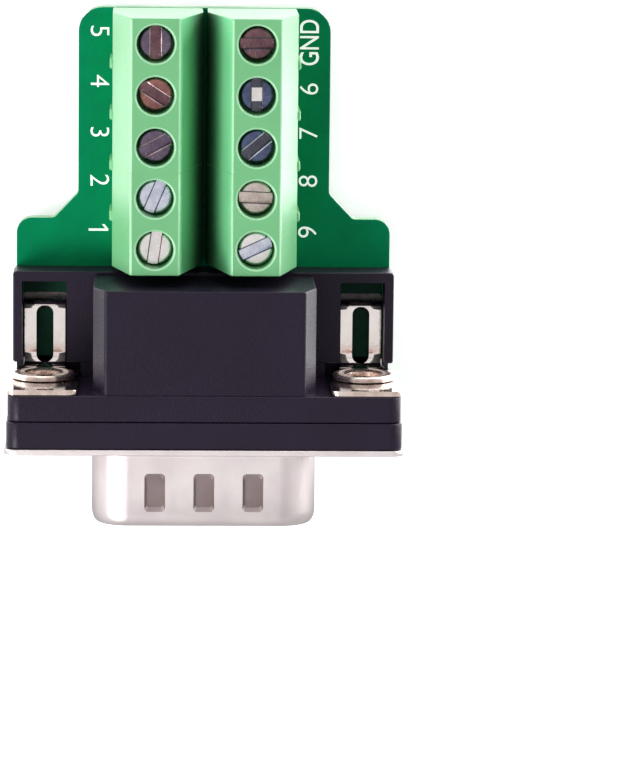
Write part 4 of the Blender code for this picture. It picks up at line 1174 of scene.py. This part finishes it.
def block_face(centre, normal):
    """Painted highlight on the ridges and well rims, and painted shade on the flank in the gap between the
    rows.
    """
    from_well = min(math.hypot(centre.x - SCREW_X, centre.y - y) for y in POLES)
    if centre.z > BLOCK_HEIGHT - 0.25 and 0.35 < normal.z < 0.97 and abs(normal.y) < 0.1:
        return 1
    on_rim = WELL_RADIUS + 0.01 < from_well < WELL_RADIUS + WELL_RIM + 0.01
    if centre.z > BLOCK_HEIGHT - 0.19 and on_rim and normal.z < 0.98:
        return 1
    return 2 if normal.x < -0.5 and centre.x < SCREW_X - TOP_HALF and abs(normal.y) < 0.3 else 0


split = POLES[1] + POLE_PITCH / 2
for side, word in SIDES:
    block = block_mesh(side * split)
    twin(f"terminal_housing_{word}", block, [GREEN, RIDGE_HIGHLIGHT, INNER],
         (0, BLOCK_Y, BOARD_TOP), 0.0 if side > 0 else math.pi, choose=block_face)
print("terminal housing faces:", len(block.polygons))

# %% [markdown]
# ## Screws
# The clamp screws have low cheese heads with a sawn slot and a fine thread below. Some heads in the
# rows came out of the plating bath brown or blue, and the edges and floors of the slots get painted
# highlights and shade in tones of their own, so each screw takes its finishes from one table: head,
# edges of the slot, and the ends and the middle of the slot's floor.

# %% Clamp screws
HEAD_HEIGHT, SLOT_DEPTH, FLOOR_MIDDLE = 1.2, 0.6, 0.52
# Each screw's head tone, then the painted highlight or shade of its slot's edges, floor ends and floor
# middle.
SCREW_LOOKS = {
    "1": ("white", "rosy", "white", "white"),
    "2": ("silver", "navy", "silver", "silver"),
    "3": ("violet", "pink", "violet", "violet"),
    "4": ("rust", "pink", "rosy", "rosy"),
    "5": ("violet", "pink", "rosy", "rosy"),
    "6": ("navy", "slate", "slate", "white"),
    "7": ("navy", "silver", "slate", "slate"),
    "8": ("taupe", "slate", "taupe", "taupe"),
    "9": ("white", "navy", "silver", "silver"),
    "gnd": ("rosy", "slate", "rosy", "rosy"),
}


def screw_mesh():
    """Threaded shank under a cheese head with a slot, whose origin is at the seat."""
    length = SCREW_SEAT + SEAT_GAP - JAW_TOP - 2 * RUN_GAP
    rings = [level(circle(0.8, 24), -length)]
    half_step = Matrix.Rotation(math.pi / 24, 3, "Z")
    rings += [[half_step @ p for p in ring] for ring in threaded_wall(1.0, 0.16, 0.4, -length + 0.1, -0.1)]
    rings += [level(circle(1.0, 24), 0)]
    shank = solid(rings)
    head = [(1.24, 0), (1.3, 0.06), (1.3, 1.0), (1.28, 1.08), (1.24, 1.15), (1.18, 1.19), (1.1, HEAD_HEIGHT)]
    head = turned(head, 48)
    sides = [(-0.48, 1.4), (-0.48, HEAD_HEIGHT), (-0.4, 1.15), (-0.39, 1.1)]
    sides.append((-0.39, HEAD_HEIGHT - SLOT_DEPTH))
    section = [*sides, *[(-y, z) for y, z in reversed(sides)]]
    slot = solid([across(section, x) for x in (-2, -FLOOR_MIDDLE, FLOOR_MIDDLE, 2)])
    return combined(head, [("DIFFERENCE", slot), ("UNION", gathered([shank], ((0, 0, 0.001),)))])


def screw_face(centre, normal):
    """Head, and the slot's edges and the ends and middle of its floor, which carry painted light and shade.
    """
    if 0.38 < abs(centre.y) < 0.5 and centre.z > 1.08 and abs(normal.y) > 0.15:
        return 1
    if abs(centre.y) > 0.4 or centre.z < 0.55:
        return 0
    return 3 if abs(centre.x) < FLOOR_MIDDLE else 2


screw = screw_mesh()
for side, poles in TERMINALS:
    for (word, angle), y in zip(poles, POLES):
        at = (side * SCREW_X, BLOCK_Y + y, BOARD_TOP + SCREW_SEAT + SEAT_GAP)
        looks = [STEELS[tone] for tone in SCREW_LOOKS[word]]
        twin(f"screw_{word}", screw.copy(), looks, at, math.radians(angle),
             f"screw_body_{word}", screw_face)
print("screw faces:", len(screw.polygons))

# %% [markdown]
# ## Clamps and terminal pins
# Inside each pole a square cage rides up the screw and presses the wire against a fixed jaw, and the
# jaw's strip bends down to become the pin in the board. Both are stamped and tinned, so their edges
# are slightly rolled.

# %% Rising clamps and terminal pins
STRIP_HALF, STRIP_LIFT, CAGE_HALF = 0.2, 0.25, 1.5


def cage_mesh():
    """Square cage with a window for the jaw and the wire, and the screw's bore in its roof."""
    height = CAGE_TOP - CAGE_BOTTOM
    window = JAW_TOP + RUN_GAP - CAGE_BOTTOM
    outer = rounded(rectangle(2.8, 0, height, 0.25), 4)
    inner = rounded(rectangle(2.0, 0.4, window, 0.12), 4)
    end, ease = CAGE_HALF, CAGE_HALF - 0.06
    sections = [(outer, 0.06, -end), (outer, 0, -ease), (outer, 0, ease), (outer, 0.06, end)]
    sections += [(inner, -0.05, end), (inner, 0, ease), (inner, 0, -ease), (inner, -0.05, -end)]
    rings = [across(inset(outline, depth), x) for outline, depth, x in sections]
    bore = turned([(1.05, window - 0.2), (1.05, height - 0.1), (1.15, height), (1.15, height + 0.2)], 32)
    return cut(solid(rings, hollow=True), bore)


def strip_mesh():
    """Jaw, leg, foot and pin of one bent strip, with the pin's soldered end."""
    jaw_z, foot_z = JAW_BOTTOM + STRIP_HALF, STRIP_LIFT + STRIP_HALF
    leg = SCREW_X - CAGE_HALF - RUN_GAP - STRIP_HALF - PIN_X
    bends = [(leg, jaw_z, 0.4), (leg, foot_z, 0.4), (0, foot_z, 0.4)]
    route = rounded([(SCREW_X + CAGE_HALF - PIN_X, jaw_z, 0), *bends, (0, foot_z - 0.43, 0)], 6)[:-1]
    widths = [0.8] * (len(route) - 1) + [0.5]
    stations = [((p[0], 0, p[1]), width, STRIP_HALF, 0.08) for p, width in zip(route, widths)]
    stations += soldered_end(lambda z: (0, 0, z), (0.5, STRIP_HALF, 0.08))
    return swept(stations, Vector((0, 1, 0)), 4)


def strip_face(centre, normal):
    return 1 if centre.z < -BOARD_THICK else 0


cage, strip = cage_mesh(), strip_mesh()
for side, poles in TERMINALS:
    turn = 0.0 if side > 0 else math.pi
    for (word, _), y in zip(poles, POLES):
        cage_at = (side * SCREW_X, BLOCK_Y + y, BOARD_TOP + CAGE_BOTTOM)
        twin(f"clamp_{word}", cage, [TIN], cage_at, turn, f"clamp_body_{word}")
        pin_at = (side * PIN_X, BLOCK_Y + y, BOARD_TOP)
        twin(f"terminal_pin_{word}", strip, [TIN, SOLDER], pin_at, turn, choose=strip_face)
print("clamp faces:", len(cage.polygons), "pin faces:", len(strip.polygons))

# %% [markdown]
# ## Floor and light
# The photograph is a catalogue picture: a white ground, soft light from all sides, and steep flanks
# that shine nearly white because they mirror the ground beside them. So the floor shows itself a
# little brighter to the camera and to reflections, most of all on the right, where the flanks are
# the brightest, and fades in front, so that the plug stays grey. Three soft lamps stand low at the
# sides and behind, the key lamp hangs high in front on the left, and a weak one overhead. The sky is
# white to the camera, fainter as a light, and a little darker overhead where metal mirrors it.

# %% Floor


def times(tree, first, second):
    """Product of an output with another output or a number."""
    node = add(tree, "ShaderNodeMath", {"operation": "MULTIPLY"}, n0=first, n1=second)
    return node.outputs["Value"]


CAMERA_GLOW, MIRROR_GLOW = 0.6, 0.3
LEFT_GLOW, RIGHT_GLOW = 0.8, 4.0
ground = bpy.data.materials.new("white ground")
ground.use_nodes = True
nodes = ground.node_tree
nodes.nodes.clear()
matt = add(nodes, "ShaderNodeBsdfDiffuse", Color=(0.9, 0.9, 0.9, 1.0))
path = add(nodes, "ShaderNodeLightPath")
spot = add(nodes, "ShaderNodeSeparateXYZ", Vector=add(nodes, "ShaderNodeNewGeometry").outputs["Position"])
# The mirrored ground grows brighter to the right, and fades before the plug and behind the board.
card = add(nodes, "ShaderNodeMapRange", Value=spot.outputs["X"], From_Min=-0.02, From_Max=0.02,
           To_Min=LEFT_GLOW, To_Max=RIGHT_GLOW)
behind = add(nodes, "ShaderNodeMapRange", Value=spot.outputs["Y"], From_Min=-0.02, From_Max=-0.01)
before = add(nodes, "ShaderNodeMapRange", Value=spot.outputs["Y"], From_Min=0.018, From_Max=0.013,
             To_Min=0.6)
reach = times(nodes, behind.outputs["Result"], before.outputs["Result"])
cards = times(nodes, card.outputs["Result"], reach)
mirrored = add(nodes, "ShaderNodeMath", {"operation": "ADD"}, n0=cards, n1=MIRROR_GLOW).outputs["Value"]
seen = times(nodes, path.outputs["Is Camera Ray"], CAMERA_GLOW)
shown = times(nodes, path.outputs["Is Glossy Ray"], mirrored)
strength = add(nodes, "ShaderNodeMath", {"operation": "ADD"}, n0=seen, n1=shown)
glow = add(nodes, "ShaderNodeEmission", Strength=strength.outputs["Value"])
both = add(nodes, "ShaderNodeAddShader", n0=matt.outputs["BSDF"], n1=glow.outputs["Emission"])
out = add(nodes, "ShaderNodeOutputMaterial")
nodes.links.new(both.outputs["Shader"], out.inputs["Surface"])
floor_mesh = bpy.data.meshes.new("floor")
floor_mesh.from_pydata([(-3, -3, 0), (3, -3, 0), (3, 3, 0), (-3, 3, 0)], [], [(0, 1, 2, 3)])
floor_mesh.materials.append(ground)
floor = bpy.data.objects.new("floor", floor_mesh)
bpy.context.scene.collection.objects.link(floor)
print("floor glow:", CAMERA_GLOW, MIRROR_GLOW, LEFT_GLOW, RIGHT_GLOW)

# %% Lamps and world


def soft_lamp(name, at, size, power):
    """Lamp of a given width and height that faces the adapter."""
    light = bpy.data.lights.new(name, "AREA")
    light.shape = "RECTANGLE"
    light.size, light.size_y = size
    light.energy = power
    lamp = bpy.data.objects.new(name, light)
    lamp.location = at
    lamp.rotation_euler = (Vector(at) - Vector((0, 0, 0.008))).to_track_quat("Z", "Y").to_euler()
    bpy.context.scene.collection.objects.link(lamp)


soft_lamp("lamp_key", (-0.30, -0.20, 0.38), (0.25, 0.25), 1.9)
soft_lamp("lamp_right", (0.45, 0.16, 0.06), (0.3, 0.1), 1.3)
soft_lamp("lamp_left", (-0.45, 0.16, 0.07), (0.3, 0.12), 0.6)
soft_lamp("lamp_rear", (0.0, 0.5, 0.1), (0.4, 0.16), 0.55)
soft_lamp("lamp_over", (0.0, 0.05, 0.6), (0.4, 0.4), 0.15)

world = bpy.data.worlds.new("studio")
bpy.context.scene.world = world
world.use_nodes = True
sky = world.node_tree
sky.nodes.clear()
where = add(sky, "ShaderNodeTexCoord")
ray = add(sky, "ShaderNodeSeparateXYZ", Vector=where.outputs["Generated"])
mirror = add(sky, "ShaderNodeMapRange", Value=ray.outputs["Z"], From_Min=0.75, From_Max=0.95,
             To_Min=1.0, To_Max=0.6)
path = add(sky, "ShaderNodeLightPath")
shiny = add(sky, "ShaderNodeMix", {"data_type": "FLOAT"}, n0=path.outputs["Is Glossy Ray"], n2=0.45,
            n3=mirror.outputs["Result"])
seen = add(sky, "ShaderNodeMix", {"data_type": "FLOAT"}, n0=path.outputs["Is Camera Ray"],
           n2=shiny.outputs[0], n3=1.0)
air = add(sky, "ShaderNodeBackground", Strength=seen.outputs[0])
out = add(sky, "ShaderNodeOutputWorld")
sky.links.new(air.outputs["Background"], out.inputs["Surface"])
print("lamps:", len(bpy.data.lights))

# %% [markdown]
# ## Camera
# The photograph was taken from high above with a long lens, a little left of and behind the middle.
# Its place was worked out from the plug's known sizes, so it is written here as found.

# %% Camera
lens = bpy.data.cameras.new("camera")
lens.sensor_width = 36.0
lens.lens = 213.27
lens.clip_start = 0.01
camera = bpy.data.objects.new("camera", lens)
camera.location = (-0.005107, 0.047821, 0.358970)
camera.rotation_euler = (-0.1615, -0.0388, 0.0108)
bpy.context.scene.collection.objects.link(camera)
bpy.context.scene.camera = camera
bpy.context.scene.view_settings.view_transform = "Standard"
print("camera at", tuple(round(value, 4) for value in camera.location))
